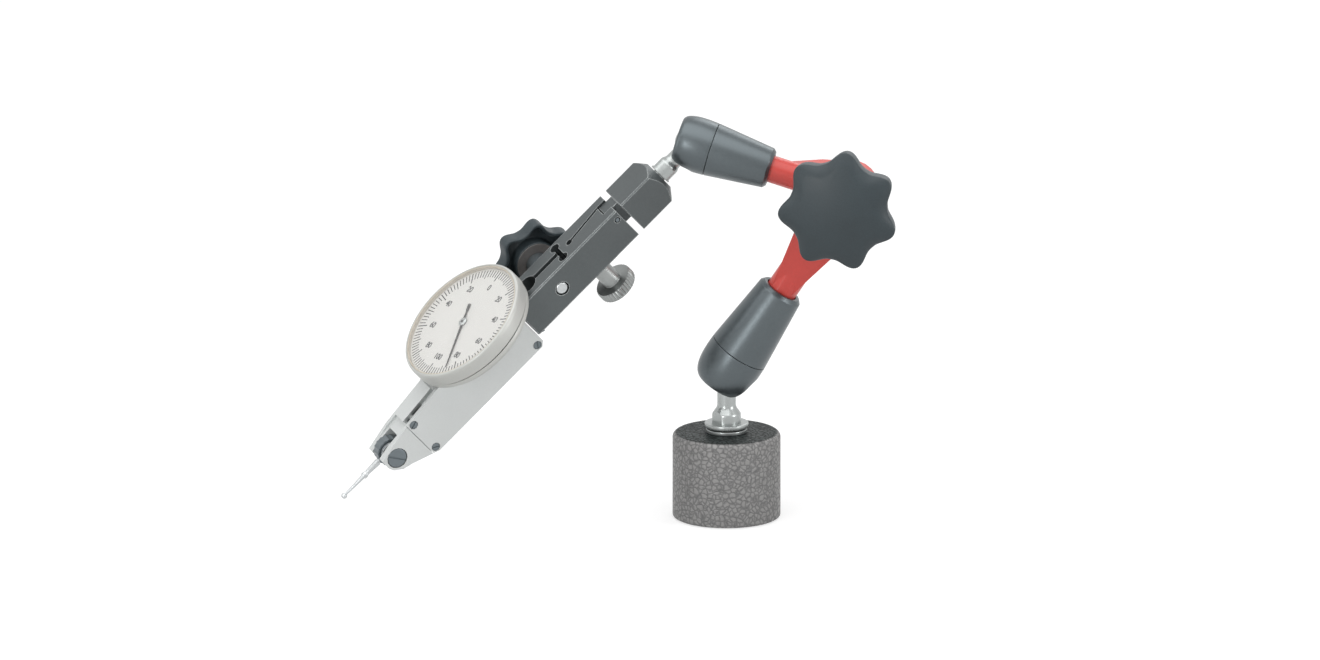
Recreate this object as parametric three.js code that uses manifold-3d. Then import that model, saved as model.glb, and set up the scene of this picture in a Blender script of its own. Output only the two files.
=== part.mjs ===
// Magnetic indicator stand: a pot magnet carries two arms that one elbow knob locks,
// and a fine-adjustment holder with a lever-type dial indicator.
// Millimetres, +Z up, origin at the centre of the magnet's underside.
// An arm's frame has its ball at the origin and +Z towards the elbow.
// The holder's frame has +X along the bar towards the stylus, +Y out of the dial and -Z towards the viewer.
// The indicator's frame has its origin on the stylus pivot, +X back towards the bar, +Y out of the dial.
import * as THREE from 'three';
import { mergeVertices } from 'three/addons/utils/BufferGeometryUtils.js';
import Module from 'manifold-3d';

const wasm = await Module();
wasm.setup();

// Fits: running is the gap between pieces that move or seat, seam is a closed joint line,
// overrun is how far a cut passes a face
const running = 0.3;
const seam = 0.15;
const overrun = 1;

// Counts of sides round a turned piece
const smallSides = 10;
const mediumSides = 16;
const fineSides = 20;
const roundSides = 30;

// Pose of the stand, in degrees
const lowerTilt = 33.3;
const elbowTilt = 106.6;
const upperSlotTurn = -17.7;
const upperStudTilt = -63.4;
const headTurn = -143;
const lowerStudTurn = 45;

const magnet = {
  radius: 15,
  height: 24,
  edgeRadius: 1.4,
  wall: 2.6,
  ceiling: 6,
  fillerWidth: 2.4,
  fillerDepth: 3,
};
const baseWasher = { radius: 5.75, thickness: 1.1 };

const lowerStud = {
  ballRadius: 5.5,
  neckRadius: 2.6,
  neckLength: 10.4,
  flareLength: 2,
  bodyRadius: 4,
  bodyLength: 2.5,
  acrossFlats: 6.8,
  flangeRadius: 6.1,
  flangeThickness: 1.4,
  tailRadius: 3,
  tailLength: 6.3,
};
const upperStud = {
  ballRadius: 4.6,
  neckRadius: 2.35,
  neckLength: 7.6,
  flareLength: 1.3,
  bodyRadius: 3.2,
  bodyLength: 3,
  acrossFlats: 5.6,
  flangeRadius: 3.2,
  flangeThickness: 0.5,
  tailRadius: 2,
  tailLength: 6,
};

// One arm: cap, sleeve, plunger, rod, collar and red arm.
// side is -1 where the red arm has the elbow's front eye, and 1 where it has the rear eye
const lowerArm = {
  length: 61.6,
  capFace: 5.2,
  capFaceRadius: 6.8,
  capFaceEdge: 0.8,
  capBulgeRadius: 8.9,
  split: 6.4,
  splitRadius: 8.45,
  spigotLength: 3,
  spigotWall: 1.2,
  sleeveEndShare: 0.458,
  sleeveTaper: 1,
  sleeveShoulderRadius: 6.5,
  sleeveEndRadius: 5.6,
  collarSeatShare: 0.279,
  collarLength: 2.4,
  neckRadius: 4.35,
  neckEndWall: 1,
  neckOverhang: 0.6,
  rodRadius: 2.4,
  cupRim: 3,
  cupBack: 9.4,
  flareLength: 32.6,
  eyeRadius: 9.5,
  halfNeckEnd: 12.6,
  side: -1,
};
const upperArm = {
  length: 45.6,
  capFace: 4,
  capFaceRadius: 6.6,
  capFaceEdge: 0.6,
  capBulgeRadius: 8.1,
  split: 5.8,
  splitRadius: 7.5,
  spigotLength: 2.8,
  spigotWall: 0.95,
  sleeveEndShare: 0.509,
  sleeveTaper: 0.8,
  sleeveShoulderRadius: 5.7,
  sleeveEndRadius: 4.9,
  collarSeatShare: 0.303,
  collarLength: 2.2,
  neckRadius: 3.8,
  neckEndWall: 0.8,
  neckOverhang: 0.5,
  rodRadius: 2.2,
  cupRim: 2.75,
  cupBack: 8,
  flareLength: 19,
  eyeRadius: 7.9,
  halfNeckEnd: 14.6,
  side: 1,
};
const flareStartShare = 0.7;
const socketOpeningAngle = 20;

const elbow = {
  halfThickness: 8.4,
  faceGap: 0.15,
  edgeChamfer: 1,
  shaftRadius: 3.4,
  coneSmallRadius: 3,
  coneLargeRadius: 4.3,
  coneLength: 3.4,
  chamberRadius: 5,
  travel: 0.55,
  tongueInner: 0.9,
  headRadius: 5.2,
  headThickness: 2.4,
  headSocketRadius: 1.7,
  headSocketDepth: 1.5,
  threadRadius: 2.6,
  threadLength: 10.2,
  washerRadius: 6.2,
  washerThickness: 1,
};
const elbowKnob = {
  tipRadius: 16.6,
  valleyRadius: 13.6,
  height: 10.6,
  edge: 1.7,
  wall: 1.6,
  roof: 3.6,
  hubRadius: 6.6,
  hubDrop: 3.2,
  boreRadius: 4.9,
  boreDepth: 9,
  dome: 0.9,
  phase: 30.6,
};
const clampKnob = {
  tipRadius: 12,
  valleyRadius: 9.8,
  height: 5.8,
  edge: 1.5,
  wall: 1,
  roof: 2.2,
  hubRadius: 6.2,
  hubDrop: 0,
  boreRadius: 2.05,
  boreDepth: 4.4,
  dome: 0.5,
  phase: 28.5,
};
const knobLobes = 7;
const knobStepsPerLobe = 6;
const knobEdgeSteps = 2;
const lobeSharpness = 1.35;

// Holder: places along the bar are measured from the upper ball's centre
const head = {
  side: 11.2,
  edge: 0.4,
  noseFaceRadius: 4.5,
  noseLength: 2.8,
  gap: 2,
  barLength: 39.1,
};
const tongue = {
  width: 4.4,
  bottom: -1.6,
  rootTop: 5,
  top: 2.4,
  length: 18.4,
  swing: 0.8,
};
const pivotPin = { radius: 0.6, reach: 29.6, height: 3, edge: 1.4 };
const fineScrew = {
  reach: 42.4,
  shankRadius: 1.45,
  headDrop: 13.4,
  headRadius: 5.75,
  headLength: 3.2,
  bossRadius: 3,
  bossLength: 0.7,
  knurls: 20,
  knurlDepth: 0.4,
};
const adjustSpring = {
  reach: 38.3,
  coilRadius: 0.95,
  wireRadius: 0.16,
  turns: 2.5,
  seatDepth: 2,
  seatRadius: 1.5,
};
const slit = { width: 0.8, start: 31, startOffset: 2, keyhole: 43.4, keyholeRadius: 1 };
const clampSlit = { width: 1.7, twinReach: 47.4, twinRadius: 1.5, twinOffset: 3.05, waist: 1.4 };
const stemHole = { reach: 60, radius: 3 };
const dovetail = { depth: 1.9, neckWidth: 4.4, width: 6.2, above: 5, below: 7.4 };
const clampScrew = { reach: 53.8, radius: 1.75, recess: 0.1 };
const clampSpacer = { radius: 3.4, length: 6.4 };

// Indicator: lengths from the stylus pivot towards the bar, heights towards the dial
const indicator = {
  gap: 0.5,
  pivotHeight: -1.1,
  width: 10,
  rearLength: 11.9,
  rearChamfer: 1.3,
  bottom: 8.1,
  top: 6.7,
  seamReach: 7.9,
  coverThickness: 1.3,
  farWall: 1.2,
  floor: 1.5,
  roof: 1.7,
  cavityFront: 11.4,
  rearWall: 3.3,
  noseReach: 3.7,
  noseTop: 2.5,
  noseLow: 0.4,
  chinReach: 3.2,
  chinDrop: 1.9,
  lipReach: 0.9,
  lipDrop: 4,
  jawReach: 1.9,
  jawDrop: 4.8,
  throatReach: 9.8,
  browReach: 4.5,
  browHeight: 4.5,
  crownReach: 8.4,
  crownHeight: 5,
  shoulderReach: 19.4,
  shoulderHeight: 6.3,
  slotWidth: 5.2,
  channelHalfHeight: 1.8,
};
const topDovetail = {
  start: 8.4,
  length: 12,
  height: 4.3,
  slope: 5.8,
  rise: 1.7,
  root: 1,
  neckWidth: 4.2,
  width: 6,
  channelWidth: 7.4,
};
const pivotScrew = {
  headRadius: 2.85,
  headDepth: 0.9,
  shaftRadius: 1.1,
  slotWidth: 0.6,
  slotDepth: 0.4,
  end: 0.4,
};
const coverScrew = {
  headRadius: 1.15,
  headDepth: 0.6,
  shankRadius: 0.5,
  length: 2.6,
  slotWidth: 0.35,
  slotDepth: 0.3,
  inset: 1.7,
  rearInset: 1.3,
  lowInset: 1.5,
};
const hub = { radius: 4.2, width: 3, notches: 18, notchDepth: 0.25 };
const stylus = {
  threadRadius: 0.75,
  threadStart: 2.6,
  rootRadius: 0.95,
  waistRadius: 0.7,
  collarReach: 9.6,
  collarLength: 0.7,
  collarRadius: 0.95,
  taperRadius: 0.62,
  tipRadius: 0.36,
  length: 17.8,
  ballRadius: 0.85,
};
const lever = { thickness: 1.1, ringRadius: 3.4, halfHeight: 0.8, ratio: 4 };
const train = {
  sectorPitch: 10.5,
  pinionPitch: 0.75,
  sectorHalfAngle: 9,
  sectorThickness: 1.1,
  sectorBossRadius: 1.6,
  arborRadius: 0.5,
  crownRadius: 5,
  crownThickness: 0.5,
  centrePinionRadius: 0.45,
  centrePinionLength: 2.2,
};
const hairspring = {
  innerRadius: 1.1,
  outerRadius: 3.3,
  turns: 3,
  thickness: 0.2,
  width: 0.6,
  stepsPerTurn: 10,
};
const dial = {
  reach: 39.6,
  footRadius: 17.9,
  floorThickness: 1.6,
  caseHoleRadius: 1.4,
  rimInset: 0.3,
  rimLow: 1.2,
  rimHigh: 2.6,
  skirtRadius: 18.2,
  bezelRadius: 19.5,
  bezelHeight: 7.1,
  bezelEdge: 0.5,
  ledgeRadius: 16.6,
  ledgeThickness: 1.6,
  plateRadius: 17.2,
  plateThickness: 0.5,
  plateHoleRadius: 1,
  crystalRadius: 18.3,
  crystalThickness: 0.9,
};
const pointer = {
  lift: 0.5,
  thickness: 0.25,
  length: 15.8,
  tailLength: 5.5,
  rootHalfWidth: 0.5,
  tipHalfWidth: 0.14,
  tailHalfWidth: 0.85,
  hubRadius: 1.3,
  hubHeight: 0.8,
  arborRadius: 0.4,
  angle: -140.7,
};

// Colours, roughness and metalness
const finish = {
  hammerGrey: [0x7d7d7c, 0.5, 0.3],
  zinc: [0xb9bcbc, 0.3, 0.9],
  magnetSteel: [0x8a8a88, 0.45, 0.9],
  resin: [0x2b2b2a, 0.7, 0],
  shell: [0x565e61, 0.45, 0.6],
  red: [0xc9392f, 0.45, 0.1],
  steel: [0x9fa3a4, 0.3, 1],
  brass: [0xb59a55, 0.35, 1],
  knob: [0x465055, 0.7, 0],
  blackened: [0x5f6668, 0.5, 0.5],
  dark: [0x2f3538, 0.5, 0.5],
  satin: [0xc3c8c6, 0.35, 0.8],
  dialWhite: [0xe8e6e2, 0.7, 0],
  needle: [0x1c1c1c, 0.5, 0.2],
  clear: [0xffffff, 0.05, 0],
};

const degrees = (angle) => THREE.MathUtils.degToRad(angle);

// Closed triangles: shared corners merged, and triangles with no area left out
function sealed(geometry) {
  const bare = geometry.clone();
  bare.deleteAttribute('normal');
  bare.deleteAttribute('uv');
  const merged = mergeVertices(bare);
  const corners = merged.index.array;
  const kept = [];
  for (let first = 0; first < corners.length; first += 3) {
    const [a, b, c] = corners.slice(first, first + 3);
    if (a !== b && b !== c && c !== a) kept.push(a, b, c);
  }
  merged.setIndex(kept);
  return merged;
}

function solidOf(geometry) {
  const closed = sealed(geometry);
  return new wasm.Manifold(
    new wasm.Mesh({
      numProp: 3,
      vertProperties: new Float32Array(closed.attributes.position.array),
      triVerts: new Uint32Array(closed.index.array),
    }),
  );
}

function geometryOf(solid) {
  const mesh = solid.getMesh();
  const geometry = new THREE.BufferGeometry();
  geometry.setAttribute('position', new THREE.BufferAttribute(mesh.vertProperties, 3));
  geometry.setIndex(new THREE.BufferAttribute(mesh.triVerts, 1));
  return geometry;
}

function cut(base, ...tools) {
  return geometryOf(tools.reduce((left, tool) => left.subtract(solidOf(tool)), solidOf(base)));
}

function join(base, ...others) {
  return geometryOf(others.reduce((whole, other) => whole.add(solidOf(other)), solidOf(base)));
}

function common(base, ...others) {
  return geometryOf(others.reduce((left, other) => left.intersect(solidOf(other)), solidOf(base)));
}

// A turned solid about Z, from [radius, height] pairs that run anticlockwise
function turned(profile, sides = mediumSides) {
  const points = profile.map(([radius, height]) => new THREE.Vector2(radius, height));
  return sealed(new THREE.LatheGeometry(points, sides).rotateX(Math.PI / 2));
}

function rod(radius, low, high, sides = mediumSides) {
  return turned([[0, low], [radius, low], [radius, high], [0, high]], sides);
}

function tube(inner, outer, low, high, sides = mediumSides) {
  return turned([[inner, low], [outer, low], [outer, high], [inner, high], [inner, low]], sides);
}

// A block between two opposite corners
function block([x0, y0, z0], [x1, y1, z1]) {
  const middle = [(x0 + x1) / 2, (y0 + y1) / 2, (z0 + z1) / 2];
  return new THREE.BoxGeometry(x1 - x0, y1 - y0, z1 - z0).translate(...middle);
}

function outline(points) {
  return new THREE.Shape(points.map(([x, y]) => new THREE.Vector2(x, y)));
}

// An outline in X and Y, extruded between two heights
function prism(shape, low, high) {
  return new THREE.ExtrudeGeometry(shape, { depth: high - low, bevelEnabled: false }).translate(0, 0, low);
}

// Turns a solid so that its Z axis lies along Y, or along X
const alongY = (geometry) => geometry.rotateX(-Math.PI / 2);
const alongX = (geometry) => geometry.rotateY(Math.PI / 2);

// Points of an arc between two angles in degrees
function arc(radius, from, to, steps, centreX = 0, centreY = 0) {
  return Array.from({ length: steps + 1 }, (_, step) => {
    const angle = degrees(from + ((to - from) * step) / steps);
    return [centreX + radius * Math.cos(angle), centreY + radius * Math.sin(angle)];
  });
}

// A square with chamfered corners, centred on the origin
function chamferedSquare(side, chamfer) {
  const far = side / 2;
  const near = far - chamfer;
  return outline([
    [-near, -far], [near, -far], [far, -near], [far, near],
    [near, far], [-near, far], [-far, near], [-far, -near],
  ]);
}

// A round outline with straight V notches
function notchedOutline(radius, notches, depth) {
  return outline(
    Array.from({ length: 2 * notches }, (_, step) => {
      const angle = (step / notches) * Math.PI;
      const reach = step % 2 ? radius - depth : radius;
      return [reach * Math.cos(angle), reach * Math.sin(angle)];
    }),
  );
}

const stand = new THREE.Group();

function add(parent, name, geometry, [color, roughness, metalness], more = {}) {
  geometry.computeVertexNormals();
  const material = new THREE.MeshStandardMaterial({ color, roughness, metalness, flatShading: true, ...more });
  const mesh = new THREE.Mesh(geometry, material);
  mesh.name = name;
  parent.add(mesh);
}

function spot(parent, { at = [0, 0, 0], turn = [0, 0, 0] }) {
  const made = new THREE.Group();
  made.position.set(...at);
  made.rotation.set(...turn);
  parent.add(made);
  return made;
}

// Magnetic foot

const potRadius = magnet.radius - magnet.wall;
const coreRadius = potRadius - magnet.fillerWidth;
const potTop = magnet.height - magnet.ceiling;

function magnetHousing() {
  const { radius, height, edgeRadius } = magnet;
  const foot = edgeRadius / 2;
  const thread = lowerStud.tailRadius + running;
  return turned([
    [potRadius, 0], ...arc(foot, -90, 0, 2, radius - foot, foot),
    ...arc(edgeRadius, 0, 90, 3, radius - edgeRadius, height - edgeRadius),
    [thread, height], [thread, potTop], [potRadius, potTop], [potRadius, 0],
  ], roundSides);
}

add(stand, 'magnet_housing', magnetHousing(), finish.hammerGrey);
add(stand, 'magnet_core', rod(coreRadius - running, 0, potTop - running, roundSides), finish.magnetSteel);
add(stand, 'filler_ring', tube(coreRadius, potRadius - running, running, magnet.fillerDepth, roundSides), finish.resin);
add(
  stand,
  'base_washer',
  tube(lowerStud.tailRadius + running, baseWasher.radius, magnet.height, magnet.height + baseWasher.thickness),
  finish.zinc,
);

// A ball stud: the ball at the origin, neck, spanner flats, flange and tail down -Z
function ballStud(stud) {
  const flareTop = -stud.neckLength;
  const bodyTop = flareTop - stud.flareLength;
  const flangeTop = bodyTop - stud.bodyLength;
  const flangeBottom = flangeTop - stud.flangeThickness;
  const tailEnd = flangeBottom - stud.tailLength;
  const neckAngle = THREE.MathUtils.radToDeg(Math.acos(stud.neckRadius / stud.ballRadius));
  const ball = arc(stud.ballRadius, -neckAngle, 90, 7);
  const turnedStud = turned([
    [0, tailEnd], [stud.tailRadius, tailEnd], [stud.tailRadius, flangeBottom],
    [stud.flangeRadius, flangeBottom], [stud.flangeRadius, flangeTop],
    [stud.bodyRadius, flangeTop], [stud.bodyRadius, bodyTop], [stud.neckRadius, flareTop],
    ...ball.slice(0, -1), [0, stud.ballRadius],
  ], fineSides);
  const near = stud.acrossFlats / 2;
  const far = stud.bodyRadius + overrun;
  const flats = [-1, 1].map((side) =>
    block([side < 0 ? -far : near, -far, flangeTop], [side < 0 ? -near : far, far, flareTop]),
  );
  return cut(turnedStud, ...flats);
}

// The stud's length from its ball to the face under its flange
const studReach = (stud) => stud.neckLength + stud.flareLength + stud.bodyLength + stud.flangeThickness;

const lowerBallHeight = magnet.height + baseWasher.thickness + running + studReach(lowerStud);
const lowerBall = spot(stand, { at: [0, 0, lowerBallHeight] });
add(
  spot(lowerBall, { turn: [0, 0, degrees(lowerStudTurn)] }),
  'lower_ball_stud',
  ballStud(lowerStud),
  finish.zinc,
);

// The cap's round opening lets the neck lean all round, and its slot in +X lets it swing square to the arm
function socketCap(arm, stud) {
  const seat = stud.ballRadius + running;
  const counterbore = seat + arm.spigotWall + running;
  const counterboreFloor = arm.split - arm.spigotLength - running;
  const bulge = new THREE.QuadraticBezierCurve(
    new THREE.Vector2(arm.capFaceRadius, arm.capFaceEdge - arm.capFace),
    new THREE.Vector2(arm.capBulgeRadius, -arm.capFace / 3),
    new THREE.Vector2(arm.splitRadius, arm.split),
  );
  const lean = degrees(socketOpeningAngle);
  const opening = (depth) => stud.neckRadius / Math.cos(lean) + running + depth * Math.tan(lean);
  const lipAngle = THREE.MathUtils.radToDeg(Math.acos((opening(0) * Math.cos(lean)) / seat) - lean);
  const body = turned([
    [opening(arm.capFace), -arm.capFace], [arm.capFaceRadius - arm.capFaceEdge, -arm.capFace],
    ...bulge.getPoints(5).map((point) => [point.x, point.y]),
    [counterbore, arm.split], [counterbore, counterboreFloor], [seat, counterboreFloor],
    ...arc(seat, 0, -lipAngle, 4), [opening(arm.capFace), -arm.capFace],
  ], fineSides);
  const halfSlot = stud.neckRadius + running;
  const far = arm.capBulgeRadius + overrun;
  const slot = block([0, -halfSlot, -arm.capFace - overrun], [far, halfSlot, 0]);
  return cut(body, slot, alongX(rod(halfSlot, 0, far)));
}

// Heights along the arm: the sleeve's end, the seat that the collar pulls on, and the flare's start
const sleeveEnd = (arm) => arm.length * arm.sleeveEndShare;
const collarSeat = (arm) => arm.length * arm.collarSeatShare;
const flareStart = (arm) => arm.length - arm.flareLength;

function armSleeve(arm, stud) {
  const bore = stud.ballRadius + running;
  const spigot = bore + arm.spigotWall;
  const neckBore = arm.neckRadius + running;
  return turned([
    [bore, arm.split - arm.spigotLength], [spigot, arm.split - arm.spigotLength],
    [spigot, arm.split + seam], [arm.splitRadius, arm.split + seam],
    [arm.sleeveShoulderRadius, sleeveEnd(arm) - arm.sleeveTaper], [arm.sleeveEndRadius, sleeveEnd(arm)],
    [neckBore, sleeveEnd(arm)], [neckBore, collarSeat(arm)], [bore, collarSeat(arm)],
    [bore, arm.split - arm.spigotLength],
  ], fineSides);
}

// The plunger's dished end fits the back of the ball
function pressureCup(arm, stud) {
  const dish = stud.ballRadius + running;
  const rimAngle = THREE.MathUtils.radToDeg(Math.asin(arm.cupRim / dish));
  return turned([
    [0, dish], ...arc(dish, 90, rimAngle, 5).slice(1), [stud.ballRadius, arm.cupRim],
    [stud.ballRadius, arm.cupBack], [0, arm.cupBack],
  ]);
}

const neckEndRadius = (arm) => arm.rodRadius + running + arm.neckEndWall;

function retainingCollar(arm, stud) {
  const high = collarSeat(arm) - running;
  return tube(neckEndRadius(arm) + running, stud.ballRadius, high - arm.collarLength, high);
}

// The wedge surfaces of the clamp spindle, widened by a clearance, about its axis
function coneProfile(clearance) {
  const small = elbow.coneSmallRadius + clearance;
  const large = elbow.coneLargeRadius + clearance;
  return [[small, -elbow.coneLength], [large, 0], [small, 0], [large, elbow.coneLength]];
}

// The rod is round in the arm and half round in the eye, with its end cut to the wedge's slope
function pushRod(arm) {
  const round = rod(arm.rodRadius, arm.cupBack + running, arm.length);
  const halfStart = arm.length - arm.halfNeckEnd - overrun;
  const reach = arm.rodRadius + overrun;
  const inner = arm.side * elbow.tongueInner;
  const relief = block(
    [-reach, Math.min(inner, -arm.side * reach), halfStart],
    [reach, Math.max(inner, -arm.side * reach), arm.length + overrun],
  );
  const cones = coneProfile(running);
  const wedge = turned([
    [0, -elbow.coneLength], ...cones, [0, elbow.coneLength],
  ]);
  return cut(round, relief, alongY(wedge).translate(0, 0, arm.length));
}

// The red arm's outline seen along the hinge axis: straight sides that run into the eye
function armOutline(arm) {
  const half = arm.neckRadius * flareStartShare;
  const lean = Math.acos(arm.eyeRadius / Math.hypot(half, arm.flareLength)) - Math.atan2(half, arm.flareLength);
  const touch = THREE.MathUtils.radToDeg(lean) - 90;
  return outline([
    [-half, flareStart(arm)], [half, flareStart(arm)],
    ...arc(arm.eyeRadius, touch, 180 - touch, 16, 0, arm.length),
  ]);
}

function jointArm(arm) {
  const { halfThickness, faceGap, edgeChamfer, chamberRadius, coneLength, travel } = elbow;
  const { side } = arm;
  const low = arm.length - arm.halfNeckEnd;
  const neckEnd = neckEndRadius(arm);
  const rodBore = arm.rodRadius + running;
  const seat = collarSeat(arm);
  const neckStart = seat - running - arm.collarLength - arm.neckOverhang;
  const neck = turned([
    [0, neckStart], [neckEnd, neckStart], [neckEnd, seat],
    [arm.neckRadius, seat], [arm.neckRadius, low], [0, low],
  ], fineSides);
  const plate = new THREE.ExtrudeGeometry(armOutline(arm), {
    depth: 2 * (halfThickness - edgeChamfer),
    bevelThickness: edgeChamfer,
    bevelSize: edgeChamfer,
    bevelOffset: -edgeChamfer,
    bevelSegments: 1,
  }).rotateX(Math.PI / 2).translate(0, halfThickness - edgeChamfer, 0);
  const top = arm.length + arm.eyeRadius + overrun;
  const shoulder = arm.length - arm.eyeRadius;
  const thickness = outline([
    [side * faceGap, flareStart(arm)], [side * arm.neckRadius * flareStartShare, flareStart(arm)],
    [side * halfThickness, shoulder], [side * halfThickness, top], [side * faceGap, top],
  ]);
  const wide = arm.eyeRadius + overrun;
  const sideView = prism(thickness, -wide, wide).applyMatrix4(
    new THREE.Matrix4().makeBasis(
      new THREE.Vector3(0, 1, 0), new THREE.Vector3(0, 0, 1), new THREE.Vector3(1, 0, 0),
    ),
  );
  const body = join(neck, common(plate, sideView));
  const headSeat = halfThickness - elbow.headThickness - running;
  const hingeCuts = side < 0
    ? [rod(elbow.coneSmallRadius + running, -halfThickness - overrun, 0)]
    : [
      rod(elbow.shaftRadius + running, 0, halfThickness + overrun),
      rod(elbow.headRadius + running, headSeat, halfThickness + overrun, fineSides),
    ];
  const chamberDepth = coneLength + travel + running;
  hingeCuts.push(rod(chamberRadius, -chamberDepth, chamberDepth));
  return cut(
    body,
    rod(rodBore, neckStart - overrun, arm.length),
    ...hingeCuts.map((tool) => alongY(tool).translate(0, 0, arm.length)),
  );
}

function addShell(parent, arm, stud, prefix) {
  add(parent, prefix + '_socket_cap', socketCap(arm, stud), finish.shell);
  add(parent, prefix + '_arm_sleeve', armSleeve(arm, stud), finish.shell);
  add(parent, prefix + '_pressure_cup', pressureCup(arm, stud), finish.steel);
}

function addJointArm(parent, arm, stud, prefix) {
  add(parent, prefix + '_joint_arm', jointArm(arm), finish.red);
  add(parent, prefix + '_retaining_collar', retainingCollar(arm, stud), finish.steel);
  add(parent, prefix + '_push_rod', pushRod(arm), finish.steel);
}

const lowerFrame = spot(lowerBall, { turn: [0, degrees(lowerTilt), 0] });
addShell(lowerFrame, lowerArm, lowerStud, 'lower');
addJointArm(lowerFrame, lowerArm, lowerStud, 'lower');

// Elbow: its frame has the hinge axis along Y and its own X and Z level with the stand's
const elbowSpot = spot(spot(lowerFrame, { at: [0, 0, lowerArm.length] }), { turn: [0, degrees(-lowerTilt), 0] });

// Draw bolt: flat head in the rear eye, two wedge cones, and the thread that the knob pulls
function clampSpindle() {
  const { halfThickness, headThickness, headRadius, shaftRadius, coneLength, threadRadius, threadLength } = elbow;
  const headFace = halfThickness - headThickness;
  const threadEnd = -halfThickness - threadLength;
  const bolt = turned([
    [0, threadEnd], [threadRadius, threadEnd], [threadRadius, -halfThickness],
    [elbow.coneSmallRadius, -halfThickness], ...coneProfile(0), [shaftRadius, coneLength],
    [shaftRadius, headFace], [headRadius, headFace], [headRadius, halfThickness], [0, halfThickness],
  ], fineSides);
  const socket = rod(elbow.headSocketRadius, halfThickness - elbow.headSocketDepth, halfThickness + overrun, 6);
  return alongY(cut(bolt, socket));
}

function starOutline(knob, inset) {
  const steps = knobLobes * knobStepsPerLobe;
  return outline(
    Array.from({ length: steps }, (_, step) => {
      const angle = (2 * Math.PI * step) / steps;
      const swell = ((1 + Math.cos(knobLobes * angle)) / 2) ** lobeSharpness;
      const radius = knob.valleyRadius + (knob.tipRadius - knob.valleyRadius) * swell - inset;
      const turn = angle + degrees(knob.phase);
      return [radius * Math.cos(turn), radius * Math.sin(turn)];
    }),
  );
}

// A hollow-backed lobed knob: its rim's back on Z = 0, its hub standing back by the hub's drop
function starKnob(knob) {
  const { height, dome, edge, roof, hubRadius, hubDrop, boreRadius, boreDepth } = knob;
  const shell = new THREE.ExtrudeGeometry(starOutline(knob, 0), {
    depth: height - dome - 2 * edge,
    bevelThickness: edge,
    bevelSize: edge,
    bevelOffset: -edge,
    bevelSegments: knobEdgeSteps,
  }).translate(0, 0, edge);
  const domeBase = height - dome;
  const domeRadius = knob.valleyRadius - 2 * edge;
  const sphere = (domeRadius ** 2 + dome ** 2) / (2 * dome);
  const spread = THREE.MathUtils.radToDeg(Math.asin(domeRadius / sphere));
  const cap = turned([
    [0, domeBase - edge], [domeRadius, domeBase - edge],
    ...arc(sphere, 90 - spread, 90, 4, 0, height - sphere).slice(0, -1), [0, height],
  ], fineSides);
  const hollow = cut(
    prism(starOutline(knob, knob.wall), -overrun, height - roof),
    rod(hubRadius, -2 * overrun, height),
  );
  const hubTop = height - roof + seam;
  const body = cut(join(shell, cap), hollow);
  const whole = hubDrop ? join(body, rod(hubRadius, -hubDrop, hubTop)) : body;
  return cut(whole, rod(boreRadius, -hubDrop - overrun, boreDepth - hubDrop));
}

const washerFace = elbow.halfThickness + running + elbow.washerThickness;

add(elbowSpot, 'clamp_spindle', clampSpindle(), finish.steel);
add(
  elbowSpot,
  'thrust_washer',
  alongY(tube(elbow.threadRadius + running, elbow.washerRadius, -washerFace, -elbow.halfThickness - running)),
  finish.steel,
);

// The knob's frame has +Z towards the viewer
const knobSpot = spot(elbowSpot, {
  at: [0, -washerFace - running - elbowKnob.hubDrop, 0],
  turn: [Math.PI / 2, 0, 0],
});
add(knobSpot, 'elbow_knob', starKnob(elbowKnob), finish.knob);
add(
  knobSpot,
  'knob_insert',
  tube(
    elbow.threadRadius + running,
    elbowKnob.boreRadius - running,
    -elbowKnob.hubDrop,
    elbowKnob.boreDepth - elbowKnob.hubDrop - running,
  ),
  finish.brass,
);

// Upper arm: its ball is at the far end, so its frame stands a whole arm's length from the elbow
const upperAim = spot(elbowSpot, { turn: [0, degrees(elbowTilt), 0] });
const upperFrame = spot(upperAim, { at: [0, 0, -upperArm.length] });
addJointArm(upperFrame, upperArm, upperStud, 'upper');
const upperShell = spot(upperFrame, { turn: [0, 0, degrees(upperSlotTurn)] });
addShell(upperShell, upperArm, upperStud, 'upper');
const upperStudSpot = spot(upperShell, { turn: [0, degrees(upperStudTilt), 0] });
add(upperStudSpot, 'upper_ball_stud', ballStud(upperStud), finish.zinc);

// Holder: X runs down the stud's axis, Y is the dial's side
const headTurned = spot(upperStudSpot, { turn: [0, 0, degrees(headTurn)] });
const holder = spot(headTurned, {});
holder.quaternion.setFromRotationMatrix(
  new THREE.Matrix4().makeBasis(
    new THREE.Vector3(0, 0, -1), new THREE.Vector3(1, 0, 0), new THREE.Vector3(0, -1, 0),
  ),
);
const halfSide = head.side / 2;
const blockStart = studReach(upperStud) + running;
const barStart = pivotPin.reach - pivotPin.edge;
const blockEnd = barStart - head.gap;
const barEnd = barStart + head.barLength;
const tongueRootEnd = pivotPin.reach + pivotPin.edge;
const tongueEnd = blockEnd + tongue.length;
const pocket = {
  bottom: tongue.bottom - tongue.swing - running,
  top: tongue.top + tongue.swing + running,
  half: tongue.width / 2 + running,
  end: tongueEnd + 2 * running,
};

// A square bar along X
function squareBar(start, end) {
  return alongX(prism(chamferedSquare(head.side, head.edge), start, end));
}

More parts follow.
